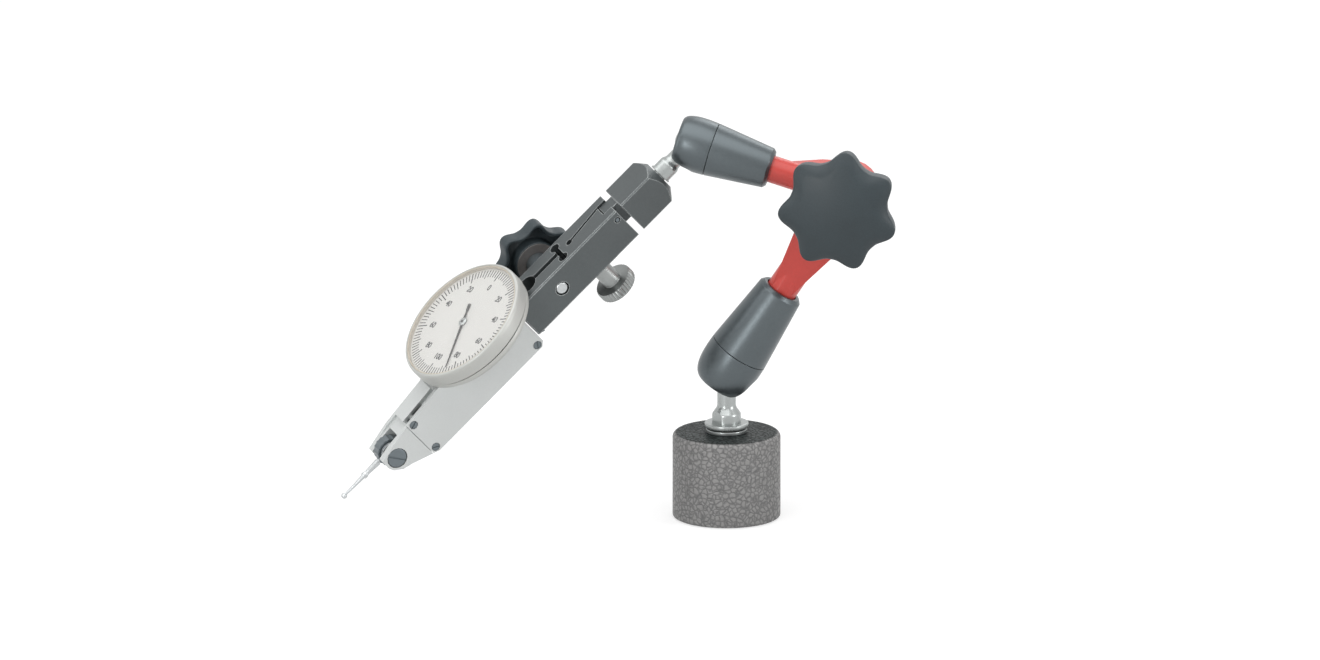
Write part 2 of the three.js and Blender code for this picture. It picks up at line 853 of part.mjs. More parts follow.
function headBlock() {
  const corner = Math.SQRT2 * halfSide;
  const nose = alongX(turned([
    [0, blockStart], [head.noseFaceRadius, blockStart], [corner, blockStart + head.noseLength],
    [corner, blockEnd], [0, blockEnd],
  ], roundSides));
  const half = tongue.width / 2;
  const root = block([blockEnd - overrun, tongue.bottom, -half], [tongueRootEnd, tongue.rootTop, half]);
  const blade = block([blockEnd - overrun, tongue.bottom, -half], [tongueEnd, tongue.top, half]);
  const tailBore = alongX(
    rod(upperStud.tailRadius + running, blockStart - overrun, blockStart + upperStud.tailLength),
  );
  const pinHole = rod(pivotPin.radius + running, -halfSide, halfSide, smallSides)
    .translate(pivotPin.reach, pivotPin.height, 0);
  const springSeat = alongY(rod(adjustSpring.seatRadius, tongue.top - adjustSpring.seatDepth, tongue.rootTop))
    .translate(adjustSpring.reach, 0, 0);
  return cut(join(common(squareBar(blockStart, blockEnd), nose), root, blade), tailBore, pinHole, springSeat);
}

function holderBar() {
  const below = -halfSide - overrun;
  const above = halfSide + overrun;
  const through = (radius, x, z) => alongY(rod(radius, below, above)).translate(x, 0, z);
  const mouth = [barStart - overrun, pocket.bottom, -pocket.half];
  const tonguePocket = block(mouth, [pocket.end, pocket.top, pocket.half]);
  const rootMouth = block(mouth, [tongueRootEnd + running, above, pocket.half]);
  const slitRun = Math.hypot(slit.keyhole - slit.start, slit.startOffset);
  const roofSlit = block([0, 0, -slit.width / 2], [slitRun, above, slit.width / 2])
    .rotateY(Math.atan2(slit.startOffset, slit.keyhole - slit.start))
    .translate(slit.start, 0, slit.startOffset);
  const keyhole = alongY(rod(slit.keyholeRadius, 0, above)).translate(slit.keyhole, 0, 0);
  const halfWaist = clampSlit.waist / 2;
  const waist = block(
    [clampSlit.twinReach - halfWaist, below, -clampSlit.twinOffset],
    [clampSlit.twinReach + halfWaist, above, clampSlit.twinOffset],
  );
  const halfSlit = clampSlit.width / 2;
  const jawSlit = block([clampSlit.twinReach, below, -halfSlit], [barEnd + overrun, above, halfSlit]);
  const pinHole = rod(pivotPin.radius + running, below, above, smallSides)
    .translate(pivotPin.reach, pivotPin.height, 0);
  const screwHole = rod(clampScrew.radius + running, below, above).translate(clampScrew.reach, 0, 0);
  const fineHole = alongY(rod(fineScrew.shankRadius + running, below, 0, smallSides))
    .translate(fineScrew.reach, 0, 0);
  return cut(
    squareBar(barStart, barEnd),
    tonguePocket, rootMouth, roofSlit, keyhole, waist, jawSlit, pinHole, screwHole, fineHole,
    through(clampSlit.twinRadius, clampSlit.twinReach, -clampSlit.twinOffset),
    through(clampSlit.twinRadius, clampSlit.twinReach, clampSlit.twinOffset),
    through(stemHole.radius, stemHole.reach, 0),
    dovetailPrism(running, below, above).translate(barEnd, 0, 0),
  );
}

// The dovetail's section widens away from the bar's end face at X = 0, with an all-round clearance
function dovetailPrism(clearance, low, high) {
  const narrow = dovetail.neckWidth / 2 + clearance;
  const wide = dovetail.width / 2 + clearance;
  const deep = dovetail.depth + clearance;
  const front = 2 * overrun;
  const section = outline([
    [front, -narrow], [0, -narrow], [-deep, -wide], [-deep, wide], [0, narrow], [front, narrow],
  ]);
  return prism(section, -high, -low).rotateX(Math.PI / 2);
}

function fineAdjustScrew() {
  const { shankRadius, headRadius, headDrop, headLength, knurls, knurlDepth, bossRadius, bossLength } = fineScrew;
  const knurled = prism(notchedOutline(headRadius, knurls, knurlDepth), -headDrop - headLength, -headDrop);
  const shank = turned([
    [0, -headDrop - overrun], [bossRadius, -headDrop - overrun], [bossRadius, bossLength - headDrop],
    [shankRadius, bossLength - headDrop], [shankRadius, tongue.bottom - running], [0, tongue.bottom - running],
  ]);
  return alongY(join(knurled, shank)).translate(fineScrew.reach, 0, 0);
}

// A helix about Y between two heights
class Helix extends THREE.Curve {
  constructor(radius, turns, low, high) {
    super();
    Object.assign(this, { radius, turns, low, high });
  }

  getPoint(share, target = new THREE.Vector3()) {
    const angle = 2 * Math.PI * this.turns * share;
    const height = this.low + (this.high - this.low) * share;
    return target.set(this.radius * Math.cos(angle), height, this.radius * Math.sin(angle));
  }
}

function springCoil() {
  const { coilRadius, wireRadius, turns, seatDepth } = adjustSpring;
  const low = tongue.top - seatDepth + running + wireRadius;
  const high = pocket.top - running - wireRadius;
  const section = outline(arc(wireRadius, 0, 288, 4));
  return sealed(new THREE.ExtrudeGeometry(section, {
    steps: 8 * turns,
    extrudePath: new Helix(coilRadius, turns, low, high),
  })).translate(adjustSpring.reach, 0, 0);
}

const knobFace = halfSide + running + clampSpacer.length + running;

add(holder, 'head_block', headBlock(), finish.blackened);
add(holder, 'adjust_spring', springCoil(), finish.steel);
add(holder, 'holder_bar', holderBar(), finish.blackened);
add(
  holder,
  'pivot_pin',
  rod(pivotPin.radius, -halfSide, halfSide, smallSides).translate(pivotPin.reach, pivotPin.height, 0),
  finish.steel,
);
add(holder, 'fine_adjust_screw', fineAdjustScrew(), finish.steel);
add(
  holder,
  'clamp_spacer',
  tube(clampScrew.radius + running, clampSpacer.radius, halfSide + running, halfSide + running + clampSpacer.length)
    .translate(clampScrew.reach, 0, 0),
  finish.dark,
);
const clampSpot = spot(holder, { at: [clampScrew.reach, 0, knobFace] });
add(clampSpot, 'clamp_knob', starKnob(clampKnob), finish.knob);
add(
  holder,
  'clamp_screw',
  rod(clampScrew.radius, clampScrew.recess - halfSide, knobFace + clampKnob.boreDepth - running)
    .translate(clampScrew.reach, 0, 0),
  finish.steel,
);

// Indicator: X back towards the bar, Y out of the dial, Z towards the viewer
const rear = dial.reach + indicator.rearLength;
const gaugeRear = rear + indicator.gap;
const gauge = spot(holder, { at: [barEnd + gaugeRear, indicator.pivotHeight, 0], turn: [0, Math.PI, 0] });
const halfWidth = indicator.width / 2;
const coverSeat = halfWidth - indicator.coverThickness;
const cavity = {
  front: indicator.cavityFront,
  rear: rear - indicator.rearWall,
  bottom: indicator.floor - indicator.bottom,
  top: indicator.top - indicator.roof,
  far: indicator.farWall - halfWidth,
};

function bodySide() {
  const g = indicator;
  return outline([
    [-g.noseReach, g.noseTop], [-g.noseReach, -g.noseLow],
    [-g.chinReach, -g.chinDrop], [-g.lipReach, -g.lipDrop],
    [g.jawReach, -g.jawDrop], [g.throatReach, -g.bottom], [rear - g.rearChamfer, -g.bottom],
    [rear, g.rearChamfer - g.bottom], [rear, g.top],
    [g.shoulderReach + overrun, g.top], [g.shoulderReach, g.shoulderHeight], [g.crownReach, g.crownHeight],
    [g.browReach, g.browHeight],
  ]);
}

// The dovetail along the top of the nose
function topRail() {
  const { length, rise, root, neckWidth, width } = topDovetail;
  const section = outline([
    [-neckWidth / 2, -root], [neckWidth / 2, -root], [neckWidth / 2, 0], [width / 2, rise], [-width / 2, rise],
    [-neckWidth / 2, 0],
  ]);
  return alongRail(prism(section, 0, length));
}

// The channel that is cut beside the rail, from the nose to the rail's end
function railChannel() {
  const { start, length, channelWidth } = topDovetail;
  const half = channelWidth / 2;
  return alongRail(block([-half, 0, -start], [half, indicator.top, length]));
}

// Turns a solid along Z into the rail's place
function alongRail(geometry) {
  const { start, height, slope } = topDovetail;
  return geometry.rotateY(Math.PI / 2).rotateZ(degrees(slope)).translate(start, height, 0);
}

// The three cover screws sit in the corners beside the cavity
const coverScrewEnd = halfWidth - coverScrew.headDepth - coverScrew.length;
const coverScrews = [
  [cavity.front - coverScrew.inset, indicator.crownHeight - coverScrew.headRadius],
  [cavity.front - coverScrew.inset, coverScrew.inset - indicator.bottom],
  [cavity.rear + coverScrew.rearInset, coverScrew.lowInset - indicator.bottom],
];

function indicatorBody() {
  const side = indicator;
  const whole = join(cut(prism(bodySide(), -halfWidth, halfWidth), railChannel()), topRail());
  const beyond = rear + overrun;
  const coverSpace = block(
    [side.seamReach, -side.bottom - overrun, coverSeat - running],
    [beyond, side.top + overrun, halfWidth + overrun],
  );
  const inside = block([cavity.front, cavity.bottom, cavity.far], [cavity.rear, cavity.top, halfWidth]);
  const slot = block(
    [-side.noseReach - overrun, -side.bottom, -side.slotWidth / 2],
    [hub.radius + running, side.crownHeight, side.slotWidth / 2],
  );
  const channel = block(
    [0, -side.channelHalfHeight, 0],
    [cavity.front + overrun, side.channelHalfHeight, side.slotWidth / 2],
  );
  const outerFace = halfWidth + overrun;
  const shaftBore = rod(pivotScrew.shaftRadius + running, -outerFace, outerFace, smallSides);
  const headRecess = rod(pivotScrew.headRadius + seam, halfWidth - pivotScrew.headDepth - running, outerFace);
  const arborHole = alongY(rod(pointer.arborRadius + running, 0, side.top + overrun, smallSides))
    .translate(dial.reach, 0, 0);
  const holeEnd = coverScrewEnd - running;
  const screwHoles = coverScrews.map(([x, y]) =>
    rod(coverScrew.shankRadius + running, holeEnd, halfWidth, smallSides).translate(x, y, 0),
  );
  return cut(whole, coverSpace, inside, slot, channel, shaftBore, headRecess, arborHole, ...screwHoles);
}

function sideCover() {
  const side = indicator;
  const plate = common(
    prism(bodySide(), coverSeat, halfWidth),
    block([side.seamReach + seam, -side.bottom - overrun, 0], [rear + overrun, side.top + overrun, halfWidth]),
  );
  const holes = coverScrews.flatMap(([x, y]) => [
    rod(coverScrew.shankRadius + running, 0, halfWidth + overrun, smallSides).translate(x, y, 0),
    rod(coverScrew.headRadius + seam, halfWidth - coverScrew.headDepth - seam, halfWidth + overrun, smallSides)
      .translate(x, y, 0),
  ]);
  return cut(plate, ...holes);
}

// A slotted screw along Z, its head's face at the given height
function slottedScrew(face, headRadius, headDepth, shankRadius, end, slotWidth, slotDepth, sides) {
  const screw = turned([
    [0, end], [shankRadius, end], [shankRadius, face - headDepth], [headRadius, face - headDepth],
    [headRadius, face], [0, face],
  ], sides);
  const far = headRadius + overrun;
  return cut(screw, block([-far, -slotWidth / 2, face - slotDepth], [far, slotWidth / 2, face + overrun]));
}

add(gauge, 'indicator_body', indicatorBody(), finish.satin);
add(gauge, 'side_cover', sideCover(), finish.satin);
coverScrews.forEach(([x, y], index) => {
  const screw = slottedScrew(
    halfWidth, coverScrew.headRadius, coverScrew.headDepth, coverScrew.shankRadius, coverScrewEnd,
    coverScrew.slotWidth, coverScrew.slotDepth, smallSides,
  ).translate(x, y, 0);
  add(gauge, 'cover_screw_' + (index + 1), screw, finish.dark);
});
add(
  gauge,
  'pivot_screw',
  slottedScrew(
    halfWidth, pivotScrew.headRadius, pivotScrew.headDepth, pivotScrew.shaftRadius, pivotScrew.end - halfWidth,
    pivotScrew.slotWidth, pivotScrew.slotDepth, mediumSides,
  ).rotateZ(degrees(-60)),
  finish.dark,
);

// The dovetail at the rear end slides in the bar's end groove
function rearDovetail() {
  const neck = indicator.gap - running;
  const narrow = dovetail.neckWidth / 2;
  const wide = dovetail.width / 2;
  const section = outline([
    [0, -narrow], [neck, -narrow], [neck + dovetail.depth, -wide], [neck + dovetail.depth, wide],
    [neck, narrow], [0, narrow],
  ]);
  return prism(section, -dovetail.above, dovetail.below).rotateX(Math.PI / 2)
    .translate(rear + running, -indicator.pivotHeight, 0);
}

add(gauge, 'rear_dovetail', rearDovetail(), finish.dark);

// Stylus and hub swivel on the pivot screw by friction
const hubFar = running - indicator.slotWidth / 2;
const hubNear = hubFar + hub.width;

function stylusHub() {
  const disc = prism(notchedOutline(hub.radius, hub.notches, hub.notchDepth), hubFar, hubNear);
  const socket = alongX(rod(stylus.threadRadius + running, 0, hub.radius + overrun, smallSides))
    .translate(-hub.radius - overrun, 0, (hubFar + hubNear) / 2);
  const stop = block(
    [running - stylus.threadStart, -hub.radius, hubFar - overrun], [hub.radius, hub.radius, hubNear + overrun],
  );
  const bore = rod(pivotScrew.shaftRadius + running, hubFar - overrun, hubNear + overrun, smallSides);
  return cut(disc, cut(socket, stop), bore);
}

function stylusRod() {
  const s = stylus;
  const root = hub.radius + running;
  const collarEnd = s.collarReach + s.collarLength;
  const ballAngle = THREE.MathUtils.radToDeg(Math.asin(s.tipRadius / s.ballRadius));
  const ball = arc(s.ballRadius, 180 - ballAngle, 0, 6).map(([along, radius]) => [radius, s.length + along]);
  return turned([
    [0, s.threadStart], [s.threadRadius, s.threadStart], [s.threadRadius, root], [s.rootRadius, root],
    [s.waistRadius, s.collarReach - s.collarLength], [s.collarRadius, s.collarReach], [s.collarRadius, collarEnd],
    [s.taperRadius, collarEnd], ...ball.slice(0, -1), [0, s.length + s.ballRadius],
  ], smallSides).rotateY(-Math.PI / 2).translate(0, 0, (hubFar + hubNear) / 2);
}

add(gauge, 'stylus_hub', stylusHub(), finish.dark);
add(gauge, 'stylus', stylusRod(), finish.steel);

// Movement: the lever turns the sector, the sector the crown wheel, the crown wheel the pointer
const leverFar = hubNear + running;
const leverNear = leverFar + lever.thickness;
const sectorReach = dial.reach - train.sectorPitch - train.pinionPitch;
const leverLength = (sectorReach * lever.ratio) / (lever.ratio + 1);
const shortArm = sectorReach - leverLength;

function stylusLever() {
  const ring = rod(lever.ringRadius, leverFar, leverNear);
  const arm = block([0, -lever.halfHeight, leverFar], [leverLength - seam, lever.halfHeight, leverNear]);
  const bore = rod(pivotScrew.shaftRadius + running, leverFar - overrun, leverNear + overrun, smallSides);
  return cut(join(ring, arm), bore);
}

const arborEnds = [cavity.far + running, coverSeat - 2 * running];

function sectorLever() {
  const { sectorPitch, sectorHalfAngle, sectorBossRadius, arborRadius, sectorThickness } = train;
  const rim = sectorPitch - seam;
  const blade = prism(
    outline([[0, 0], ...arc(rim, -sectorHalfAngle, sectorHalfAngle, 6)]), leverFar, leverFar + sectorThickness,
  );
  const tail = block(
    [seam - shortArm, -lever.halfHeight, leverFar], [0, lever.halfHeight, leverFar + sectorThickness],
  );
  const boss = rod(sectorBossRadius, leverFar, leverFar + sectorThickness, smallSides);
  const arbor = rod(arborRadius, ...arborEnds, smallSides);
  return join(blade, tail, boss, arbor).translate(sectorReach, 0, 0);
}

function crownWheel() {
  const { crownRadius, crownThickness, arborRadius, pinionPitch, sectorThickness, centrePinionRadius } = train;
  const crownFace = -centrePinionRadius - running;
  return turned([
    [0, arborEnds[0]], [arborRadius, arborEnds[0]], [arborRadius, crownFace - crownThickness],
    [crownRadius, crownFace - crownThickness], [crownRadius, crownFace], [arborRadius, crownFace],
    [arborRadius, leverFar - seam], [pinionPitch - seam, leverFar - seam],
    [pinionPitch - seam, leverFar + sectorThickness + seam], [arborRadius, leverFar + sectorThickness + seam],
    [arborRadius, arborEnds[1]], [0, arborEnds[1]],
  ], mediumSides).translate(dial.reach, 0, 0);
}

// A flat spiral strip round the crown wheel's arbor
function spiralSpring() {
  const { innerRadius, outerRadius, turns, thickness, width, stepsPerTurn } = hairspring;
  const steps = turns * stepsPerTurn;
  const edge = (offset) =>
    Array.from({ length: steps + 1 }, (_, step) => {
      const angle = (2 * Math.PI * step) / stepsPerTurn;
      const radius = innerRadius + ((outerRadius - innerRadius) * step) / steps + offset;
      return [radius * Math.cos(angle), radius * Math.sin(angle)];
    });
  const strip = outline([...edge(0), ...edge(thickness).reverse()]);
  const low = cavity.far + running;
  return prism(strip, low, low + width).translate(dial.reach, 0, 0);
}

add(gauge, 'stylus_lever', stylusLever(), finish.steel);
add(gauge, 'sector_lever', sectorLever(), finish.brass);
add(gauge, 'crown_wheel', crownWheel(), finish.brass);
add(gauge, 'hairspring', spiralSpring(), finish.steel);

// Dial: everything turned about an axis along Y
const dialSpot = spot(gauge, { at: [dial.reach, indicator.top + running, 0], turn: [-Math.PI / 2, 0, 0] });
const ledgeLow = dial.floorThickness + running;
const ledgeHigh = ledgeLow + dial.ledgeThickness;
const plateLow = ledgeHigh + running;
const plateHigh = plateLow + dial.plateThickness;
const crystalLow = dial.bezelHeight - dial.crystalThickness;
const pointerLow = plateHigh + pointer.lift;

// A shallow cup on a smaller foot: its rim stands round the bezel's skirt
function dialCase() {
  const { footRadius, floorThickness, caseHoleRadius, rimInset, rimLow, rimHigh, skirtRadius, bezelRadius } = dial;
  const rimRadius = bezelRadius - rimInset;
  const cupRadius = skirtRadius + running;
  return turned([
    [caseHoleRadius, 0], [footRadius, 0], [footRadius, rimLow], [rimRadius, rimLow], [rimRadius, rimHigh],
    [cupRadius, rimHigh], [cupRadius, floorThickness], [caseHoleRadius, floorThickness], [caseHoleRadius, 0],
  ], roundSides);
}

function bezelRing() {
  const { bezelRadius, bezelHeight, bezelEdge, crystalRadius, plateRadius, ledgeRadius, skirtRadius } = dial;
  const crystalBore = crystalRadius + running;
  const plateBore = plateRadius + running;
  const bezelLow = dial.rimHigh + seam;
  return turned([
    [skirtRadius, ledgeLow], [skirtRadius, bezelLow], [bezelRadius, bezelLow],
    [bezelRadius, bezelHeight - bezelEdge], [bezelRadius - bezelEdge, bezelHeight],
    [crystalBore, bezelHeight], [crystalBore, crystalLow - running], [plateBore, crystalLow - running],
    [plateBore, ledgeHigh], [ledgeRadius, ledgeHigh], [ledgeRadius, ledgeLow], [skirtRadius, ledgeLow],
  ], roundSides);
}

function pointerHand() {
  const p = pointer;
  const hand = prism(outline([
    [-p.tailLength, -p.tailHalfWidth], [-p.tailLength, p.tailHalfWidth], [0, p.rootHalfWidth],
    [p.length, p.tipHalfWidth], [p.length, -p.tipHalfWidth], [0, -p.rootHalfWidth],
  ].reverse()), pointerLow, pointerLow + p.thickness);
  const boss = rod(p.hubRadius, pointerLow, pointerLow + p.hubHeight);
  const bore = rod(p.arborRadius + running, 0, dial.bezelHeight, smallSides);
  return cut(join(hand, boss), bore).rotateZ(degrees(p.angle));
}

function pointerArbor() {
  const { centrePinionRadius, centrePinionLength, crownRadius } = train;
  const low = crownRadius - centrePinionLength - indicator.top - running;
  const high = low + centrePinionLength;
  return turned([
    [0, low], [centrePinionRadius, low], [centrePinionRadius, high], [pointer.arborRadius, high],
    [pointer.arborRadius, pointerLow + pointer.hubHeight], [0, pointerLow + pointer.hubHeight],
  ], smallSides);
}

add(dialSpot, 'dial_case', dialCase(), finish.satin);
add(dialSpot, 'bezel', bezelRing(), finish.satin);
add(
  dialSpot,
  'dial_plate',
  tube(dial.plateHoleRadius, dial.plateRadius, plateLow, plateHigh, roundSides),
  finish.dialWhite,
);
add(dialSpot, 'crystal', rod(dial.crystalRadius, crystalLow, dial.bezelHeight, roundSides), finish.clear, {
  transparent: true,
  opacity: 0.2,
});
add(dialSpot, 'pointer', pointerHand(), finish.needle);
add(dialSpot, 'pointer_arbor', pointerArbor(), finish.steel);

export default stand;
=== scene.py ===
"""Magnetic indicator stand: visible pieces, materials, studio and camera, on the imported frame."""
import math

import bmesh
import bpy
from mathutils import Matrix, Vector


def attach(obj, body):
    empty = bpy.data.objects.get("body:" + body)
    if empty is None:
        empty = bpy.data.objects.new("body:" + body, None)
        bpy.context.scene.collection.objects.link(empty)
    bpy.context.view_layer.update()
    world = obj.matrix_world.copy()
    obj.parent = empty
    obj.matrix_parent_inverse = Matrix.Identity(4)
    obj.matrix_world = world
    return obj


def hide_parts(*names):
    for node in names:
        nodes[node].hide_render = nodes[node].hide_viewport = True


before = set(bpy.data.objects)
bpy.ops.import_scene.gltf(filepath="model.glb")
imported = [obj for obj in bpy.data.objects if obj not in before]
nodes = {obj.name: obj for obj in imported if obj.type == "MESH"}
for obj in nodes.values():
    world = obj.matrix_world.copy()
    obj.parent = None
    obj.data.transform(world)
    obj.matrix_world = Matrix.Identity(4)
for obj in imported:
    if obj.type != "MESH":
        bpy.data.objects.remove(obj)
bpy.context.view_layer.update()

MM = 0.001
SIDES = 96
SMALL_SIDES = 48
LARGE_SIDES = 160
FILLET_STEPS = 4
SMOOTH_ANGLE = 32.0
FLAT_ANGLE = 0.6
WELD = 0.0005
scene = bpy.context.scene


# Places, in millimetres

def shift(x=0.0, y=0.0, z=0.0):
    return Matrix.Translation((x, y, z))


def turn(axis, angle):
    return Matrix.Rotation(math.radians(angle), 4, axis)


ALONG_X = turn("Y", 90)
ALONG_Y = turn("X", -90)
HOLDER_AXES = Matrix(((0, 1, 0, 0), (0, 0, -1, 0), (-1, 0, 0, 0), (0, 0, 0, 1)))

POT_HEIGHT = 24.0
BALL_HEIGHT = 41.7
LOWER_LENGTH = 61.6
LOWER_LEAN = 33.3
UPPER_LENGTH = 45.6
UPPER_LEAN = 106.6
FINE_SCREW_REACH = 42.4
CLAMP_REACH = 53.8
STYLUS_REACH = 119.3
DIAL_REACH = 39.6

lower_ball = shift(z=BALL_HEIGHT)
lower_stud_place = lower_ball @ turn("Z", 45)
lower_place = lower_ball @ turn("Y", LOWER_LEAN)
elbow_place = lower_place @ shift(z=LOWER_LENGTH) @ turn("Y", -LOWER_LEAN)
knob_place = elbow_place @ shift(y=-13.2) @ turn("X", 90)
upper_place = elbow_place @ turn("Y", UPPER_LEAN) @ shift(z=-UPPER_LENGTH)
upper_shell_place = upper_place @ turn("Z", -17.7)
upper_stud_place = upper_shell_place @ turn("Y", -63.4)
holder_place = upper_stud_place @ turn("Z", -143) @ HOLDER_AXES
fine_screw_place = holder_place @ shift(FINE_SCREW_REACH) @ ALONG_Y
cross_place = holder_place @ shift(CLAMP_REACH)
clamp_place = holder_place @ shift(CLAMP_REACH, 0, 12.6)
gauge_place = holder_place @ shift(STYLUS_REACH, -1.1, 0) @ turn("Y", 180)
dial_place = gauge_place @ shift(DIAL_REACH, 7.0, 0) @ turn("X", -90)


# Materials

class Shader:
    """Builds one node material around a Principled shader."""

    def __init__(self, name, colour, roughness, metallic):
        self.material = bpy.data.materials.new(name)
        self.material.use_nodes = True
        self.tree = self.material.node_tree
        self.principled = self.tree.nodes["Principled BSDF"]
        self.place = self.node("ShaderNodeTexCoord").outputs["Object"]
        self.colour = linear(colour)
        self.set("Base Color", self.colour)
        self.set("Roughness", roughness)
        self.set("Metallic", metallic)

    def node(self, kind, **settings):
        made = self.tree.nodes.new(kind)
        for key, value in settings.items():
            setattr(made, key, value)
        return made

    def link(self, source, target):
        self.tree.links.new(source, target)

    def set(self, socket, value):
        self.principled.inputs[socket].default_value = value

    def noise(self, scale, detail=3.0, roughness=0.55):
        made = self.node("ShaderNodeTexNoise")
        made.inputs["Scale"].default_value = scale
        made.inputs["Detail"].default_value = detail
        made.inputs["Roughness"].default_value = roughness
        self.link(self.place, made.inputs["Vector"])
        return made.outputs["Fac"]

    def cells(self, scale):
        """Nought on the lines between random cells, and rising towards their middles."""
        made = self.node("ShaderNodeTexVoronoi", feature="DISTANCE_TO_EDGE")
        made.inputs["Scale"].default_value = scale
        self.link(self.place, made.inputs["Vector"])
        return made.outputs["Distance"]

    def span(self, value, low, high, to_low=0.0, to_high=1.0):
        made = self.node("ShaderNodeMapRange")
        limits = {"From Min": low, "From Max": high, "To Min": to_low, "To Max": to_high}
        for socket, number in limits.items():
            made.inputs[socket].default_value = number
        self.link(value, made.inputs["Value"])
        return made.outputs["Result"]

    def math(self, operation, first, second):
        made = self.node("ShaderNodeMath", operation=operation)
        for socket, value in zip(made.inputs, (first, second)):
            if isinstance(value, (int, float)):
                socket.default_value = value
            else:
                self.link(value, socket)
        return made.outputs["Value"]

    def mix(self, factor, first, second):
        made = self.node("ShaderNodeMix", data_type="RGBA")
        self.link(factor, made.inputs["Factor"])
        for socket, value in (("A", first), ("B", second)):
            target = [item for item in made.inputs if item.name == socket and item.type == "RGBA"][0]
            if isinstance(value, tuple):
                target.default_value = value
            else:
                self.link(value, target)
        return [item for item in made.outputs if item.type == "RGBA"][0]

    def bump(self, height, strength, distance):
        made = self.node("ShaderNodeBump")
        made.inputs["Strength"].default_value = strength
        made.inputs["Distance"].default_value = distance * MM
        self.link(height, made.inputs["Height"])
        return made.outputs["Normal"]

    def edges(self, radius):
        """About one on an outer or inner edge and nought on flat surfaces."""
        bevel = self.node("ShaderNodeBevel", samples=4)
        bevel.inputs["Radius"].default_value = radius * MM
        geometry = self.node("ShaderNodeNewGeometry")
        dot = self.node("ShaderNodeVectorMath", operation="DOT_PRODUCT")
        self.link(bevel.outputs["Normal"], dot.inputs[0])
        self.link(geometry.outputs["Normal"], dot.inputs[1])
        return self.span(dot.outputs["Value"], 0.995, 0.9)

    def finish(self, roughness, normal, colour=None):
        self.link(roughness, self.principled.inputs["Roughness"])
        self.link(normal, self.principled.inputs["Normal"])
        if colour:
            self.link(colour, self.principled.inputs["Base Color"])
        return self.material


def linear(colour):
    """A colour written as 0 to 255 display values, as scene-linear RGBA."""
    share = [value / 255 for value in colour]
    return tuple([v / 12.92 if v <= 0.04045 else ((v + 0.055) / 1.055) ** 2.4 for v in share] + [1.0])


def toned(colour, factor):
    return tuple([min(1.0, value * factor) for value in colour[:3]] + [1.0])


CLOUD_SCALE = 90.0
# Scale of the noise that breaks up the painted edge highlight.
HIGHLIGHT_BREAKUP_SCALE = 250.0
CLOUD_RANGE = (0.35, 0.65)


def fine_finish(name, colour, roughness, metallic, grain=900.0, bump=0.02, spread=0.07, rough_spread=0.06,
                painted_edge_highlight=None, specular=0.5):
    """Painted, plated or moulded surface: cloudy tone, fine grain in the gloss and the bump.

    An optional edge highlight, given as its colour and its width in millimetres, is painted along the edges.
    """
    shader = Shader(name, colour, roughness, metallic)
    shader.set("Specular IOR Level", specular)
    cloud = shader.noise(CLOUD_SCALE, 4.0)
    fine = shader.noise(grain, 2.0)
    both = shader.math("ADD", shader.math("MULTIPLY", cloud, 0.6), shader.math("MULTIPLY", fine, 0.4))
    tone = shader.mix(shader.span(both, *CLOUD_RANGE),
                      toned(shader.colour, 1 - spread), toned(shader.colour, 1 + spread))
    # Painted highlight: a light line along outer and inner edges, broken up by noise.
    if painted_edge_highlight:
        highlight_colour, width = painted_edge_highlight
        edge = shader.edges(width)
        highlight_breakup = shader.span(shader.noise(HIGHLIGHT_BREAKUP_SCALE), 0.35, 0.6, 0.8, 1.0)
        tone = shader.mix(shader.math("MULTIPLY", edge, highlight_breakup), tone, linear(highlight_colour))
    gloss = shader.span(both, *CLOUD_RANGE, roughness - rough_spread, roughness + rough_spread)
    return shader.finish(gloss, shader.bump(fine, 0.5, bump), tone)


def hammer_paint():
    """Hammered paint: rounded blotches between darker lines; the flat top is coloured near black as a
    painted dark reflection.
    """
    bend_scale, bend_reach = 420.0, 0.0014
    blotch_scale, grain_scale, grain_share, speck_scale = 760.0, 1100.0, 0.24, 1500.0
    top_start, top_full = POT_HEIGHT - 0.25, POT_HEIGHT - 0.02
    shader = Shader("hammer_paint", (128, 128, 127), 0.42, 0.25)
    shader.set("Specular IOR Level", 0.12)
    straight = shader.place
    warp = shader.node("ShaderNodeVectorMath", operation="ADD")
    bend = shader.node("ShaderNodeTexNoise")
    bend.inputs["Scale"].default_value = bend_scale
    shader.link(shader.place, bend.inputs["Vector"])
    pull = shader.node("ShaderNodeVectorMath", operation="SCALE")
    pull.inputs["Scale"].default_value = bend_reach
    shader.link(bend.outputs["Color"], pull.inputs[0])
    shader.link(shader.place, warp.inputs[0])
    shader.link(pull.outputs["Vector"], warp.inputs[1])
    shader.place = warp.outputs["Vector"]
    drops = shader.math("ADD", shader.cells(blotch_scale),
                        shader.math("MULTIPLY", shader.noise(grain_scale), grain_share))
    rise = shader.span(drops, 0.1, 0.36)
    speck = shader.noise(speck_scale, 2.0)
    side = shader.mix(rise, linear((114, 114, 114)), linear((153, 152, 151)))
    # Painted reflection: the flat top's colour is near black to stand in for the dark reflection it shows.
    top = shader.mix(rise, linear((1, 2, 2)), linear((44, 53, 52)))
    axes = shader.node("ShaderNodeSeparateXYZ")
    shader.link(straight, axes.inputs[0])
    # Height mask for the painted dark reflection on the flat top.
    high = shader.span(axes.outputs["Z"], top_start * MM, top_full * MM)
    tone = shader.mix(high, side, top)
    tone = shader.mix(shader.span(speck, 0.62, 0.75, 0.0, 0.35), tone, linear((84, 86, 86)))
    gloss = shader.span(rise, 0.0, 1.0, 0.56, 0.4)
    return shader.finish(gloss, shader.bump(rise, 0.5, 0.2), tone)


def clear_crystal():
    """Thin clear plastic with a faint smear in its gloss."""
    shader = Shader("clear_crystal", (255, 255, 255), 0.03, 0.0)
    shader.set("Alpha", 0.08)
    smear = shader.noise(60.0, 2.0)
    return shader.finish(shader.span(smear, 0.3, 0.7, 0.02, 0.06), shader.bump(smear, 0.1, 0.01))


